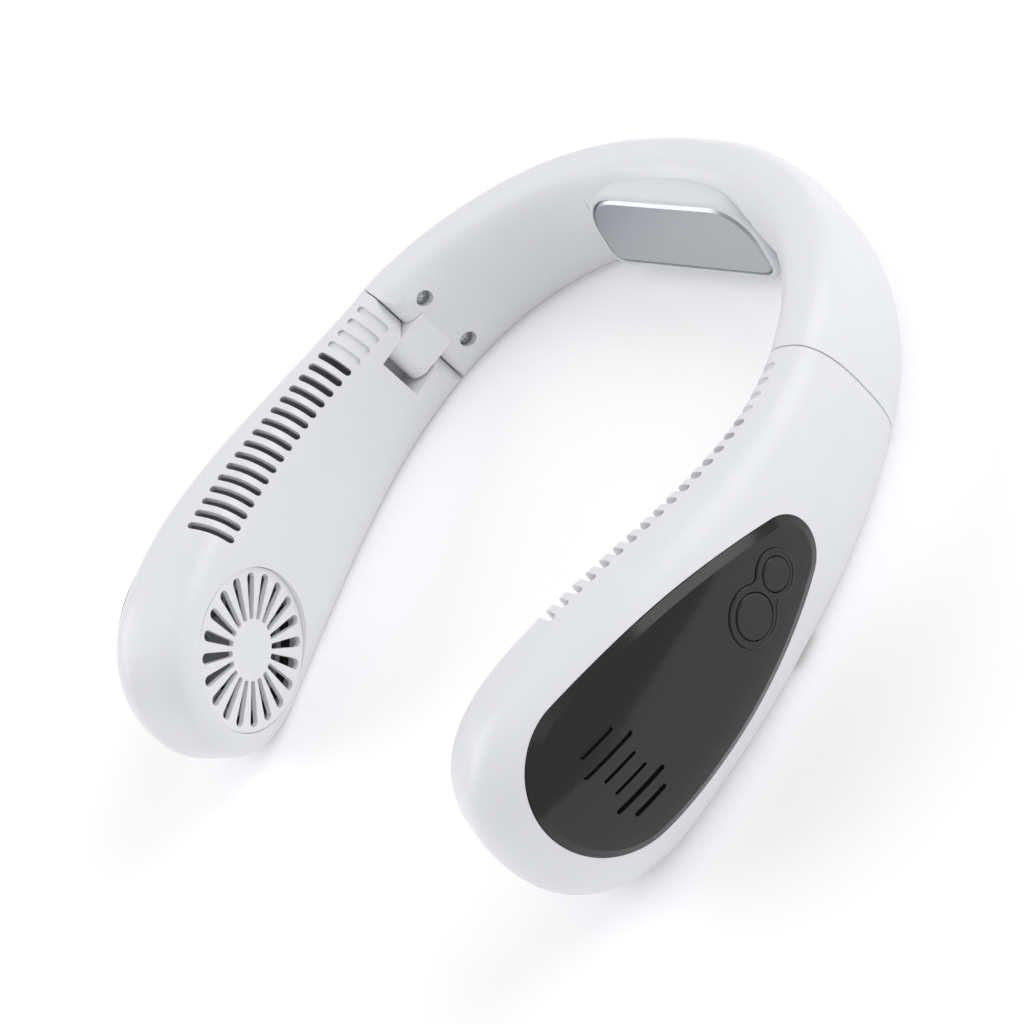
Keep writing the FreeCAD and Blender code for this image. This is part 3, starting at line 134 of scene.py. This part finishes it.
@dataclass(frozen=True)
class MouldedPlastic:
    """Injection-moulded plastic: the tool's polish gives a broad, faint ripple, its texture a fine grain."""

    name: str
    colour: str
    shade: str
    roughness: tuple[float, float]
    ripple_mm: float = 14.0
    ripple_height_mm: float = 0.010
    ripple_detail: float = 2.0
    grain_mm: float = 0.6
    grain_height_mm: float = 0.002
    grain_detail: float = 1.0
    ior: float = 1.5

    def material(self) -> bpy.types.Material:
        """Makes the material: two close tones, uneven gloss, ripple and grain.

        Returns:
            The material, shared by all pieces of this finish.
        """
        known = bpy.data.materials.get(self.name)
        if known:
            return known
        material, tree, place = start_material(self.name)
        broad = add_node(tree, "ShaderNodeTexNoise", {
            "Vector": place, "Scale": pattern_scale(self.ripple_mm), "Detail": self.ripple_detail})
        fine = add_node(tree, "ShaderNodeTexNoise", {
            "Vector": place, "Scale": pattern_scale(self.grain_mm), "Detail": self.grain_detail})
        tone = add_node(tree, "ShaderNodeMix", {
            "Factor": broad.outputs["Fac"], "A": linear(self.colour),
            "B": linear(self.shade)}, data_type="RGBA")
        gloss = add_node(tree, "ShaderNodeMapRange", {
            "Value": broad.outputs["Fac"], "From Min": NOISE_LOW, "From Max": NOISE_HIGH,
            "To Min": self.roughness[0], "To Max": self.roughness[1]})
        ripple = add_node(tree, "ShaderNodeBump", {
            "Height": broad.outputs["Fac"], "Strength": 1.0, "Distance": self.ripple_height_mm * MM})
        grain = add_node(tree, "ShaderNodeBump", {
            "Height": fine.outputs["Fac"], "Strength": 1.0, "Distance": self.grain_height_mm * MM,
            "Normal": ripple.outputs["Normal"]})
        shader = add_node(tree, "ShaderNodeBsdfPrincipled", {
            "Base Color": tone.outputs["Result"], "Roughness": gloss.outputs["Result"], "IOR": self.ior,
            "Normal": grain.outputs["Normal"]})
        add_node(tree, "ShaderNodeOutputMaterial", {"Surface": shader.outputs["BSDF"]})
        return material


@dataclass(frozen=True)
class Metal:
    """Bare metal: a grain that is even when blasted, and drawn out along one axis when brushed or turned."""

    name: str
    colour: str
    shade: str
    roughness: tuple[float, float]
    grain_mm: float
    grain_height_mm: float
    stretch: tuple[float, float, float] = (1.0, 1.0, 1.0)
    grain_detail: float = 3.0

    def material(self) -> bpy.types.Material:
        """Makes the material: uneven tone and gloss over a fine grain.

        Returns:
            The material, shared by all pieces of this finish.
        """
        known = bpy.data.materials.get(self.name)
        if known:
            return known
        material, tree, place = start_material(self.name)
        drawn = add_node(tree, "ShaderNodeMapping", {"Vector": place, "Scale": self.stretch})
        grain = add_node(tree, "ShaderNodeTexNoise", {
            "Vector": drawn.outputs["Vector"], "Scale": pattern_scale(self.grain_mm),
            "Detail": self.grain_detail})
        tone = add_node(tree, "ShaderNodeMix", {
            "Factor": grain.outputs["Fac"], "A": linear(self.colour),
            "B": linear(self.shade)}, data_type="RGBA")
        gloss = add_node(tree, "ShaderNodeMapRange", {
            "Value": grain.outputs["Fac"], "From Min": NOISE_LOW, "From Max": NOISE_HIGH,
            "To Min": self.roughness[0], "To Max": self.roughness[1]})
        bump = add_node(tree, "ShaderNodeBump", {
            "Height": grain.outputs["Fac"], "Strength": 1.0, "Distance": self.grain_height_mm * MM})
        shader = add_node(tree, "ShaderNodeBsdfPrincipled", {
            "Base Color": tone.outputs["Result"], "Roughness": gloss.outputs["Result"], "Metallic": 1.0,
            "Normal": bump.outputs["Normal"]})
        add_node(tree, "ShaderNodeOutputMaterial", {"Surface": shader.outputs["BSDF"]})
        return material


class Palette(Enum):
    """Finishes of the fan, each named for what it is made of."""

    # Polished-tool ABS: clear, soft reflections on a cool white
    WHITE_SHELL = MouldedPlastic("white_polished_abs", "#EEEFF2", "#EAEBEF", (0.30, 0.36))
    # The same resin from a finer-textured insert: broader highlights
    WHITE_INSERT = MouldedPlastic("white_satin_abs", "#F1F2F4", "#EDEEF1", (0.34, 0.42),
                                  grain_height_mm=0.004)
    # Softer touch blend round the plate: matt and a little greyer
    WHITE_FRAME = MouldedPlastic("white_matt_tpe_blend", "#E4E6EA", "#DFE1E5", (0.44, 0.52),
                                 grain_height_mm=0.004)
    # Hard-wearing acetal of the hinge blocks: a touch whiter, with a waxy gloss
    HINGE_ACETAL = MouldedPlastic("hinge_acetal", "#F2F3F4", "#EEEFF1", (0.32, 0.40))
    # Spark-eroded tool texture on dark ABS: semi-gloss over a fine grain, drawn a little coarser to show
    BLACK_PANEL = MouldedPlastic("black_textured_abs", "#1E1E1F", "#1A1A1B", (0.13, 0.17), ripple_mm=30.0,
                                 grain_mm=0.45, grain_height_mm=0.006)
    # The same resin from a plain tool: a smoother, slightly softer gloss on what the finger touches
    BLACK_BUTTON = MouldedPlastic("black_satin_abs", "#1E1E1F", "#1B1B1C", (0.18, 0.23), grain_mm=0.5)
    # Glass-filled nylon of the blower's housing, dark so that the inside stays quiet behind the grille
    DARK_NYLON = MouldedPlastic("dark_glass_filled_nylon", "#4A4C4F", "#424447", (0.48, 0.58),
                                grain_mm=0.9, grain_height_mm=0.008)
    # The same nylon with less pigment: the impeller shows as a mid grey behind the grille
    GREY_NYLON = MouldedPlastic("grey_glass_filled_nylon", "#95979B", "#8C8E92", (0.44, 0.54),
                                grain_mm=0.9, grain_height_mm=0.008)
    # Anodised aluminium, blasted before the bath: an even grey with a soft sheen
    BLASTED_PLATE = Metal("blasted_anodised_aluminium", "#BCBEC2", "#AFB1B5", (0.28, 0.38), 0.35, 0.004)
    # Extruded aluminium: drawn lines along the fins
    SINK_ALUMINIUM = Metal("extruded_aluminium", "#B4B7BB", "#A2A5AA", (0.32, 0.44), 0.5, 0.006,
                           (1.0, 1.0, 0.1))
    # Nickel-plated steel of screws, pins and the socket's sheet: bright, with a fine grain
    BRIGHT_STEEL = Metal("nickel_plated_steel", "#B9BBBE", "#A7AAAE", (0.20, 0.30), 0.3, 0.002)
    # Zinc-plated sheet of the motor cans: a duller grey
    MOTOR_CAN = Metal("zinc_plated_can", "#8F9297", "#7C7F84", (0.30, 0.42), 0.4, 0.004)
    # Alumina face plates of the thermoelectric module: matt and off-white
    ALUMINA = MouldedPlastic("sintered_alumina", "#EFEDE6", "#E2DFD6", (0.55, 0.65), grain_mm=0.4)
    # Polyester shrink film round the cells: deep blue, dark behind the air slots
    CELL_FILM = MouldedPlastic("cell_shrink_film", "#1E2F4A", "#1A2942", (0.25, 0.35), grain_mm=1.2)
    # Solder mask over glass laminate: the weave shows faintly
    BOARD_MASK = MouldedPlastic("board_solder_mask", "#14563A", "#0F4A31", (0.30, 0.42), grain_mm=0.7,
                                grain_height_mm=0.010)
    # Unfilled nylon of the tact switches: matt black
    SWITCH_NYLON = MouldedPlastic("switch_nylon", "#1E1E20", "#252528", (0.45, 0.55))


def smooth_faces(piece: bpy.types.Object, angle: float) -> None:
    """Shades a piece's curved faces smoothly and keeps its creases.

    Args:
        piece: The object; its triangles are joined by a modifier and its mesh stays as it is.
        angle: Crease angle in degrees.
    """
    piece.data.polygons.foreach_set("use_smooth", np.ones(len(piece.data.polygons), dtype=bool))
    weld = piece.modifiers.new("join_triangles", "WELD")
    weld.merge_threshold = WELD_MM * MM
    split = piece.modifiers.new("keep_creases", "EDGE_SPLIT")
    split.split_angle = math.radians(angle)


def mesh_points(piece: bpy.types.Object) -> np.ndarray:
    """Reads the points of a solid's mesh.

    Args:
        piece: Object of the solid.

    Returns:
        Points in metres, one row each.
    """
    points = np.empty(len(piece.data.vertices) * 3)
    piece.data.vertices.foreach_get("co", points)
    return points.reshape(-1, 3)


def quadratic_terms(x: np.ndarray, y: np.ndarray) -> np.ndarray:
    """The six terms of a quadratic in x and y, along a new last axis."""
    return np.stack((np.ones_like(x), x, y, x * x, x * y, y * y), axis=-1)


def add_piece(name: str, points: np.ndarray, faces: list[list[int]], finish: Palette,
              crease_angle: float) -> bpy.types.Object:
    """Makes a new piece at the origin, with its place in its mesh.

    Args:
        name: The piece's name.
        points: Points in metres, one row each.
        faces: Point numbers of each face, in the order that turns it outwards.
        finish: What the piece is made of.
        crease_angle: Angle in degrees above which an edge stays sharp.

    Returns:
        The piece, in the scene and not yet riding on a body.
    """
    mesh = bpy.data.meshes.new(name)
    mesh.from_pydata(points.tolist(), [], faces)
    mesh.materials.append(finish.value.material())
    piece = bpy.data.objects.new(name, mesh)
    bpy.context.scene.collection.objects.link(piece)
    smooth_faces(piece, crease_angle)
    return piece


@dataclass(frozen=True)
class ScrewCap:
    """Low dome with a cross recess on the head of a hinge screw."""

    node: str
    turn: float
    radius_mm: float = 2.08
    dome_mm: float = 0.60
    recess_mm: float = 0.50
    cross_length_mm: float = 1.25
    cross_width_mm: float = 0.36
    wall_mm: float = 0.14
    sink_mm: float = 0.05
    rings: int = 34
    spokes: int = 120
    crease_angle: float = 40.0
    head_share: float = 0.9
    face_depth_mm: float = 0.01

    def seat(self, screw: bpy.types.Object) -> tuple[np.ndarray, np.ndarray]:
        """Finds the middle of the screw's head face and the way it looks.

        The axis is the direction in which the points spread most; the head is the end with the wide points.

        Args:
            screw: Object of the screw's solid.

        Returns:
            Middle of the head's face and the outward axis, in metres.
        """
        points = mesh_points(screw)
        spread = points - points.mean(axis=0)
        axis = np.linalg.svd(spread, full_matrices=False)[2][0]
        height = spread @ axis
        width = np.linalg.norm(spread - height[:, None] * axis, axis=1)
        axis = axis * np.sign(height[width > self.head_share * width.max()].mean() - height.mean())
        height = points @ axis
        return points[height > height.max() - self.face_depth_mm * MM].mean(axis=0), axis

    def heights(self, x: np.ndarray, y: np.ndarray) -> np.ndarray:
        """Height over the head's face: a parabola over the radius, less the cross with its sloping walls.

        The walls follow 3 s^2 - 2 s^3, where s goes from 0 outside the cross to 1 on its floor.

        Args:
            x: Places along one arm of the cross, in millimetres.
            y: Places along the other arm.

        Returns:
            Heights in millimetres.
        """
        along, across = np.maximum(np.abs(x), np.abs(y)), np.minimum(np.abs(x), np.abs(y))
        inside = np.minimum(self.cross_length_mm - along, self.cross_width_mm - across)
        share = np.clip(inside / self.wall_mm + 0.5, 0.0, 1.0)
        dome = self.dome_mm * (1.0 - (x ** 2 + y ** 2) / self.radius_mm ** 2)
        return dome - self.recess_mm * share * share * (3.0 - 2.0 * share) * dome / self.dome_mm

    def surface(self) -> np.ndarray:
        """Lays the cap's points: rings on the dome, a sunk rim, and the poles above and below.

        Ring k and spoke j meet at (r cos a, r sin a, h), with r and a in even steps and h from heights.

        Returns:
            Points in millimetres over the head's face, one row each.
        """
        radius = np.linspace(0.0, self.radius_mm, self.rings + 1)[1:, None]
        angle = np.linspace(0.0, 2.0 * math.pi, self.spokes, endpoint=False)[None, :]
        x, y = (radius * np.cos(angle)).ravel(), (radius * np.sin(angle)).ravel()
        pole, sunk = np.zeros(1), np.full(self.spokes + 1, -self.sink_mm)
        z = np.concatenate((self.heights(x, y), sunk[1:], self.heights(pole, pole), sunk[:1]))
        rim = slice((self.rings - 1) * self.spokes, None)
        x, y = np.concatenate((x, x[rim], pole, pole)), np.concatenate((y, y[rim], pole, pole))
        return np.stack((x, y, z), axis=-1)

    def faces(self) -> list[list[int]]:
        """Joins neighbouring rings with four-sided faces and closes both poles.

        Returns:
            Point numbers of each face.
        """
        ring = np.arange(self.rings)[:, None] * self.spokes
        step = np.arange(self.spokes)[None, :]
        after, outer = (step + 1) % self.spokes, ring + self.spokes
        quads = np.stack((ring + step, outer + step, outer + after, ring + after), axis=-1)
        rim, top = self.rings * self.spokes, (self.rings + 1) * self.spokes
        crown = np.stack((np.full_like(step, top), step, after), axis=-1)
        base = np.stack((np.full_like(step, top + 1), rim + after, rim + step), axis=-1)
        return quads.reshape(-1, 4).tolist() + crown.reshape(-1, 3).tolist() + base.reshape(-1, 3).tolist()

    def build(self, nodes: dict[str, bpy.types.Object]) -> bpy.types.Object:
        """Sets the cap on the screw's head, turned about the screw's axis.

        Args:
            nodes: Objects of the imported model, by name.

        Returns:
            The cap, riding on the bridge.
        """
        middle, axis = self.seat(nodes[self.node])
        side = np.cross(axis, (0.0, 0.0, 1.0))
        side /= np.linalg.norm(side)
        first = math.cos(self.turn) * side + math.sin(self.turn) * np.cross(axis, side)
        axes = np.stack((first, np.cross(axis, first), axis))
        cap = add_piece(f"{self.node}_cap", middle + self.surface() @ axes * MM, self.faces(),
                        Palette.BRIGHT_STEEL, self.crease_angle)
        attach(cap, "bridge")
        LOG.info("%s: cross recess", cap.name)
        return cap


@dataclass(frozen=True)
class RimBead:
    """Fine raised bead along the edge of the figure-eight rim round the buttons."""

    large_mm: float = 7.40
    small_mm: float = 6.00
    waist_mm: float = 2.00
    inset_mm: float = 0.45
    half_width_mm: float = 0.34
    height_mm: float = 0.19
    sink_mm: float = 0.06
    circle_points: int = 110
    waist_points: int = 26
    profile_points: int = 11
    crease_angle: float = 50.0
    facing: float = 0.97

    def outline(self, gap: float) -> tuple[np.ndarray, np.ndarray]:
        """Lays the closed figure eight: two circles and two arcs that touch both circles from outside.

        An arc's middle lies at large + waist from the large circle's middle and at small + waist from the
        small one's, so it is the third corner of a triangle whose base is the gap.

        Args:
            gap: Distance between the circles' middles in millimetres.

        Returns:
            Points of the path and its outward directions, in the plane of the rim.
        """
        large, small = self.large_mm - self.inset_mm, self.small_mm - self.inset_mm
        waist = self.waist_mm + self.inset_mm
        x = ((large + waist) ** 2 - (small + waist) ** 2 + gap ** 2) / (2.0 * gap)
        y = math.sqrt((large + waist) ** 2 - x ** 2)
        first, second = math.atan2(y, x), math.atan2(y, x - gap)
        arcs = (
            ((0.0, 0.0), large, first, 2.0 * math.pi - first, self.circle_points, 1.0),
            ((x, -y), waist, math.pi - first, math.pi - second, self.waist_points, -1.0),
            ((gap, 0.0), small, -second, second, self.circle_points, 1.0),
            ((x, y), waist, second - math.pi, first - math.pi, self.waist_points, -1.0),
        )
        points, outward = [], []
        for middle, radius, start, end, count, sign in arcs:
            angle = np.linspace(start, end, count, endpoint=False)
            ray = np.stack((np.cos(angle), np.sin(angle)), axis=-1)
            points.append(np.array(middle) + radius * ray)
            outward.append(sign * ray)
        return np.concatenate(points), np.concatenate(outward)

    def plane(self, nodes: dict[str, bpy.types.Object],
              press: np.ndarray) -> tuple[np.ndarray, np.ndarray, float]:
        """Finds the plane of the buttons, square to their travel.

        Args:
            nodes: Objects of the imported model, by name.
            press: Direction in which the buttons are pressed.

        Returns:
            Axes from the large button to the small one, across and outwards, as rows; the large button's
            middle along them in metres; and the distance of the two middles in millimetres.
        """
        out = -press / np.linalg.norm(press)
        large, small = (mesh_points(nodes[name]) for name in ("power_button", "cooling_button"))
        along = small.mean(axis=0) - large.mean(axis=0)
        along -= (along @ out) * out
        along /= np.linalg.norm(along)
        axes = np.stack((along, np.cross(out, along), out))
        first, second = ((p.min(axis=0) + p.max(axis=0)) / 2.0 for p in (large @ axes.T, small @ axes.T))
        return axes, np.array((first[0], first[1], 0.0)), float(second[0] - first[0]) / MM

    def rim_face(self, rim: bpy.types.Object, axes: np.ndarray, origin: np.ndarray) -> np.ndarray:
        """Reads the corners of the rim's triangles that look outwards.

        Args:
            rim: Object of the rim's solid.
            axes: Axes of the buttons' plane, as rows.
            origin: The large button's middle along them.

        Returns:
            Points in millimetres along the axes, one row each.
        """
        normals = np.empty(len(rim.data.polygons) * 3)
        rim.data.polygons.foreach_get("normal", normals)
        corners = np.empty(len(rim.data.loops), dtype=np.int32)
        rim.data.loops.foreach_get("vertex_index", corners)
        outward = normals.reshape(-1, 3) @ axes[2] > self.facing
        points = mesh_points(rim)[corners.reshape(-1, 3)[outward].ravel()]
        return (points @ axes.T - origin) / MM

    def build(self, nodes: dict[str, bpy.types.Object], press: np.ndarray) -> bpy.types.Object:
        """Carries a half ellipse along the figure eight, over the rim's own face.

        The rim's face is a quadratic in the plane's two coordinates, fitted to the face's points.

        Args:
            nodes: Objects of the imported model, by name.
            press: Direction in which the buttons are pressed.

        Returns:
            The bead, riding on the arm with the buttons.
        """
        axes, origin, gap = self.plane(nodes, press)
        path, outward = self.outline(gap)
        face = self.rim_face(nodes["button_bezel"], axes, origin)
        terms = quadratic_terms(face[:, 0], face[:, 1])
        shape = np.linalg.lstsq(terms, face[:, 2], rcond=None)[0]

        swing = np.linspace(0.0, math.pi, self.profile_points)
        edge, sunk = np.array((self.half_width_mm,)), np.array((-self.sink_mm,))
        width = np.concatenate((edge, self.half_width_mm * np.cos(swing), -edge))
        rise = np.concatenate((sunk, self.height_mm * np.sin(swing), sunk))
        flat = path[:, None, :] + outward[:, None, :] * width[None, :, None]
        level = quadratic_terms(flat[..., 0], flat[..., 1]) @ shape + rise[None, :]
        local = np.concatenate((flat, level[..., None]), axis=-1).reshape(-1, 3)

        rows, columns = len(path), len(width)
        row, column = np.meshgrid(np.arange(rows), np.arange(columns), indexing="ij")
        after, beside = (row + 1) % rows, (column + 1) % columns
        quads = np.stack((row * columns + column, after * columns + column,
                          after * columns + beside, row * columns + beside), axis=-1)
        bead = add_piece("button_rim_bead", (local * MM + origin) @ axes, quads.reshape(-1, 4).tolist(),
                         Palette.BLACK_BUTTON, self.crease_angle)
        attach(bead, "left_arm")
        LOG.info("%s: fit of the rim's face within %.3f mm", bead.name,
                 float(np.abs(terms @ shape - face[:, 2]).max()))
        return bead


@dataclass
class SubAssembly:
    """A group of solids, each with its finish."""

    finishes: dict[str, Palette] = field(default_factory=dict)
    crease_angle: float = 30.0

    def dress(self, nodes: dict[str, bpy.types.Object]) -> None:
        """Gives each solid its finish.

        Args:
            nodes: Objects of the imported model, by name.
        """
        for name, choice in self.finishes.items():
            finish: Finish = choice.value
            piece = nodes[name]
            piece.data.materials.clear()
            piece.data.materials.append(finish.material())
            smooth_faces(piece, self.crease_angle)
            LOG.info("%s: %s", name, finish.name)


@dataclass
class Bridge(SubAssembly):
    """Nape bridge with the cooling pad and the fixed halves of the hinges; screw turns are in radians."""

    finishes: dict[str, Palette] = field(default_factory=lambda: {
        "bridge_outer_shell": Palette.WHITE_SHELL,
        "bridge_inner_shell": Palette.WHITE_SHELL,
        "cooling_pad_frame": Palette.WHITE_FRAME,
        "cooling_plate": Palette.BLASTED_PLATE,
        "peltier_module": Palette.ALUMINA,
        "heat_sink": Palette.SINK_ALUMINIUM,
        **{f"hinge_knuckle_{side}": Palette.HINGE_ACETAL for side in SIDES},
        **{f"hinge_screw_{side}_{place}": Palette.BRIGHT_STEEL
           for side in SIDES for place in ("upper", "lower")},
    })
    screw_turns: dict[str, float] = field(default_factory=lambda: {
        "left_upper": 0.35, "left_lower": 1.10, "right_upper": 0.80, "right_lower": 0.15,
    })

    def build(self, nodes: dict[str, bpy.types.Object]) -> None:
        """Caps the four hinge screws, each turned as it came to rest.

        Args:
            nodes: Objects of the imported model, by name.
        """
        for place, turn in self.screw_turns.items():
            ScrewCap(f"hinge_screw_{place}", turn).build(nodes)


@dataclass
class Arm(SubAssembly):
    """One hinged arm: the pieces that both arms have."""

    side: str = SIDES[0]
    pieces: dict[str, Palette] = field(default_factory=lambda: {
        "arm_outer_shell": Palette.WHITE_SHELL,
        "arm_inner_shell": Palette.WHITE_SHELL,
        "intake_grille": Palette.WHITE_INSERT,
        "blower_housing": Palette.DARK_NYLON,
        "fan_motor": Palette.MOTOR_CAN,
        "impeller": Palette.GREY_NYLON,
        "battery_cell": Palette.CELL_FILM,
        "hinge_pin": Palette.BRIGHT_STEEL,
    })

    def __post_init__(self) -> None:
        """Lists the pieces under the names that they have on this side."""
        self.finishes = {f"{piece}_{self.side}": finish for piece, finish in self.pieces.items()}


@dataclass
class SidePanels(SubAssembly):
    """Dark panels and the rim of the buttons, whose low bevels stay crisp at a small crease angle."""

    finishes: dict[str, Palette] = field(default_factory=lambda: {
        **{f"accent_panel_{side}": Palette.BLACK_PANEL for side in SIDES},
        "button_bezel": Palette.BLACK_PANEL,
    })
    crease_angle: float = 12.0


@dataclass
class Controls(SubAssembly):
    """Buttons, switches, board and socket of the left arm, and the bead round the buttons."""

    finishes: dict[str, Palette] = field(default_factory=lambda: {
        "power_button": Palette.BLACK_BUTTON,
        "cooling_button": Palette.BLACK_BUTTON,
        "control_board": Palette.BOARD_MASK,
        "power_switch": Palette.SWITCH_NYLON,
        "cooling_switch": Palette.SWITCH_NYLON,
        "usb_socket": Palette.BRIGHT_STEEL,
    })
    bead: RimBead = RimBead()

    def build(self, nodes: dict[str, bpy.types.Object], press: np.ndarray) -> None:
        """Lays the bead along the rim of the buttons.

        Args:
            nodes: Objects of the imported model, by name.
            press: Direction in which the buttons are pressed.
        """
        self.bead.build(nodes, press)


@dataclass(frozen=True)
class Lamp:
    """One square soft box: place, side, power, whether glossy faces mirror it, and what it looks at."""

    name: str
    place: tuple[float, float, float]
    side: float
    power: float
    mirrored: bool = True
    aim: tuple[float, float, float] = (0.0, 0.0, 0.03)


@dataclass(frozen=True)
class Studio:
    """Pale floor, soft boxes and world light, and the camera of the photograph."""

    floor_half: float = 4.0
    floor_colour: str = "#FAFAFB"
    floor_lift: str = "#747474"
    world_colour: str = "#FFFFFF"
    world_strength: float = 0.53
    camera_place: tuple[float, float, float] = (0.511995, -0.188218, 0.441661)
    camera_right: tuple[float, float, float] = (0.649023, 0.475385, -0.593951)
    camera_down: tuple[float, float, float] = (0.139460, -0.841840, -0.521399)
    camera_forward: tuple[float, float, float] = (-0.747877, 0.255568, -0.612671)
    camera_clip: tuple[float, float] = (0.01, 50.0)
    focal_pixels: float = 2670.43
    image_pixels: float = 1024.0
    sensor_mm: float = 36.0
    lamps: tuple[Lamp, ...] = (
        Lamp("key", (0.58, 0.93, 0.72), 1.0, 6.5),
        Lamp("top", (0.0, -0.10, 1.30), 1.0, 1.5),
        Lamp("fill", (-0.95, -0.52, 0.74), 0.9, 5.0),
        Lamp("front", (0.85, -0.75, 0.18), 0.6, 1.6, mirrored=False),
    )

    def camera(self) -> None:
        """Makes the camera from its axes and the focal length in pixels of the image."""
        data = bpy.data.cameras.new("camera")
        data.sensor_fit = "HORIZONTAL"
        data.sensor_width = self.sensor_mm
        data.lens = self.focal_pixels / self.image_pixels * self.sensor_mm
        data.clip_start, data.clip_end = self.camera_clip
        camera = bpy.data.objects.new("camera", data)
        axes = Matrix((self.camera_right, -Vector(self.camera_down), -Vector(self.camera_forward)))
        camera.matrix_world = Matrix.Translation(self.camera_place) @ axes.transposed().to_4x4()
        bpy.context.scene.collection.objects.link(camera)
        bpy.context.scene.camera = camera

    def floor(self) -> None:
        """Lays the floor: a pale matt sheet that keeps the object's shadow and is white to the camera."""
        half = self.floor_half
        corners = [(-half, -half, 0.0), (half, -half, 0.0), (half, half, 0.0), (-half, half, 0.0)]
        mesh = bpy.data.meshes.new("floor")
        mesh.from_pydata(corners, [], [(0, 1, 2, 3)])
        floor = bpy.data.objects.new("floor", mesh)
        bpy.context.scene.collection.objects.link(floor)
        material, tree, _ = start_material("pale_floor")
        path = add_node(tree, "ShaderNodeLightPath")
        mirrored = add_node(tree, "ShaderNodeMath", {
            0: path.outputs["Is Camera Ray"], 1: path.outputs["Is Glossy Ray"]}, operation="MAXIMUM")
        seen = add_node(tree, "ShaderNodeMath", {
            0: mirrored.outputs["Value"], 1: path.outputs["Is Transmission Ray"]}, operation="MAXIMUM")
        matt = add_node(tree, "ShaderNodeBsdfDiffuse", {"Color": linear(self.floor_colour)})
        lift = add_node(tree, "ShaderNodeEmission", {
            "Color": linear(self.floor_lift), "Strength": seen.outputs["Value"]})
        both = add_node(tree, "ShaderNodeAddShader", {0: matt.outputs["BSDF"], 1: lift.outputs["Emission"]})
        add_node(tree, "ShaderNodeOutputMaterial", {"Surface": both.outputs["Shader"]})
        mesh.materials.append(material)

    def light(self) -> None:
        """Hangs the soft boxes and sets the world's even light."""
        for lamp in self.lamps:
            data = bpy.data.lights.new(lamp.name, "AREA")
            data.shape, data.size, data.energy = "SQUARE", lamp.side, lamp.power
            box = bpy.data.objects.new(lamp.name, data)
            box.location = lamp.place
            box.visible_glossy = lamp.mirrored
            aim = Vector(lamp.aim) - Vector(lamp.place)
            box.rotation_euler = aim.to_track_quat("-Z", "Y").to_euler()
            bpy.context.scene.collection.objects.link(box)
        world = bpy.data.worlds.new("studio")
        world.use_nodes = True
        tree = world.node_tree
        tree.nodes.clear()
        even = add_node(tree, "ShaderNodeBackground", {
            "Color": linear(self.world_colour), "Strength": self.world_strength})
        add_node(tree, "ShaderNodeOutputWorld", {"Surface": even.outputs["Background"]})
        bpy.context.scene.world = world

    def build(self) -> None:
        """Sets up the view, camera, floor and light."""
        bpy.context.scene.view_settings.view_transform = "Standard"
        self.camera()
        self.floor()
        self.light()


def main() -> None:
    """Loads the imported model, sets the stage, dresses the solids and adds the small fittings."""
    logging.basicConfig(level=logging.INFO, format="%(name)s %(message)s")
    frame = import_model()
    nodes = frame["nodes"]
    Studio().build()
    bridge, controls = Bridge(), Controls()
    for group in (bridge, *(Arm(side=side) for side in SIDES), SidePanels(), controls):
        group.dress(nodes)
    bridge.build(nodes)
    joints = {joint["name"]: joint for joint in frame["record"]["behaviour"]["joints"]}
    controls.build(nodes, np.array(joints["power_press"]["axis"]))


if __name__ == "__main__":
    main()
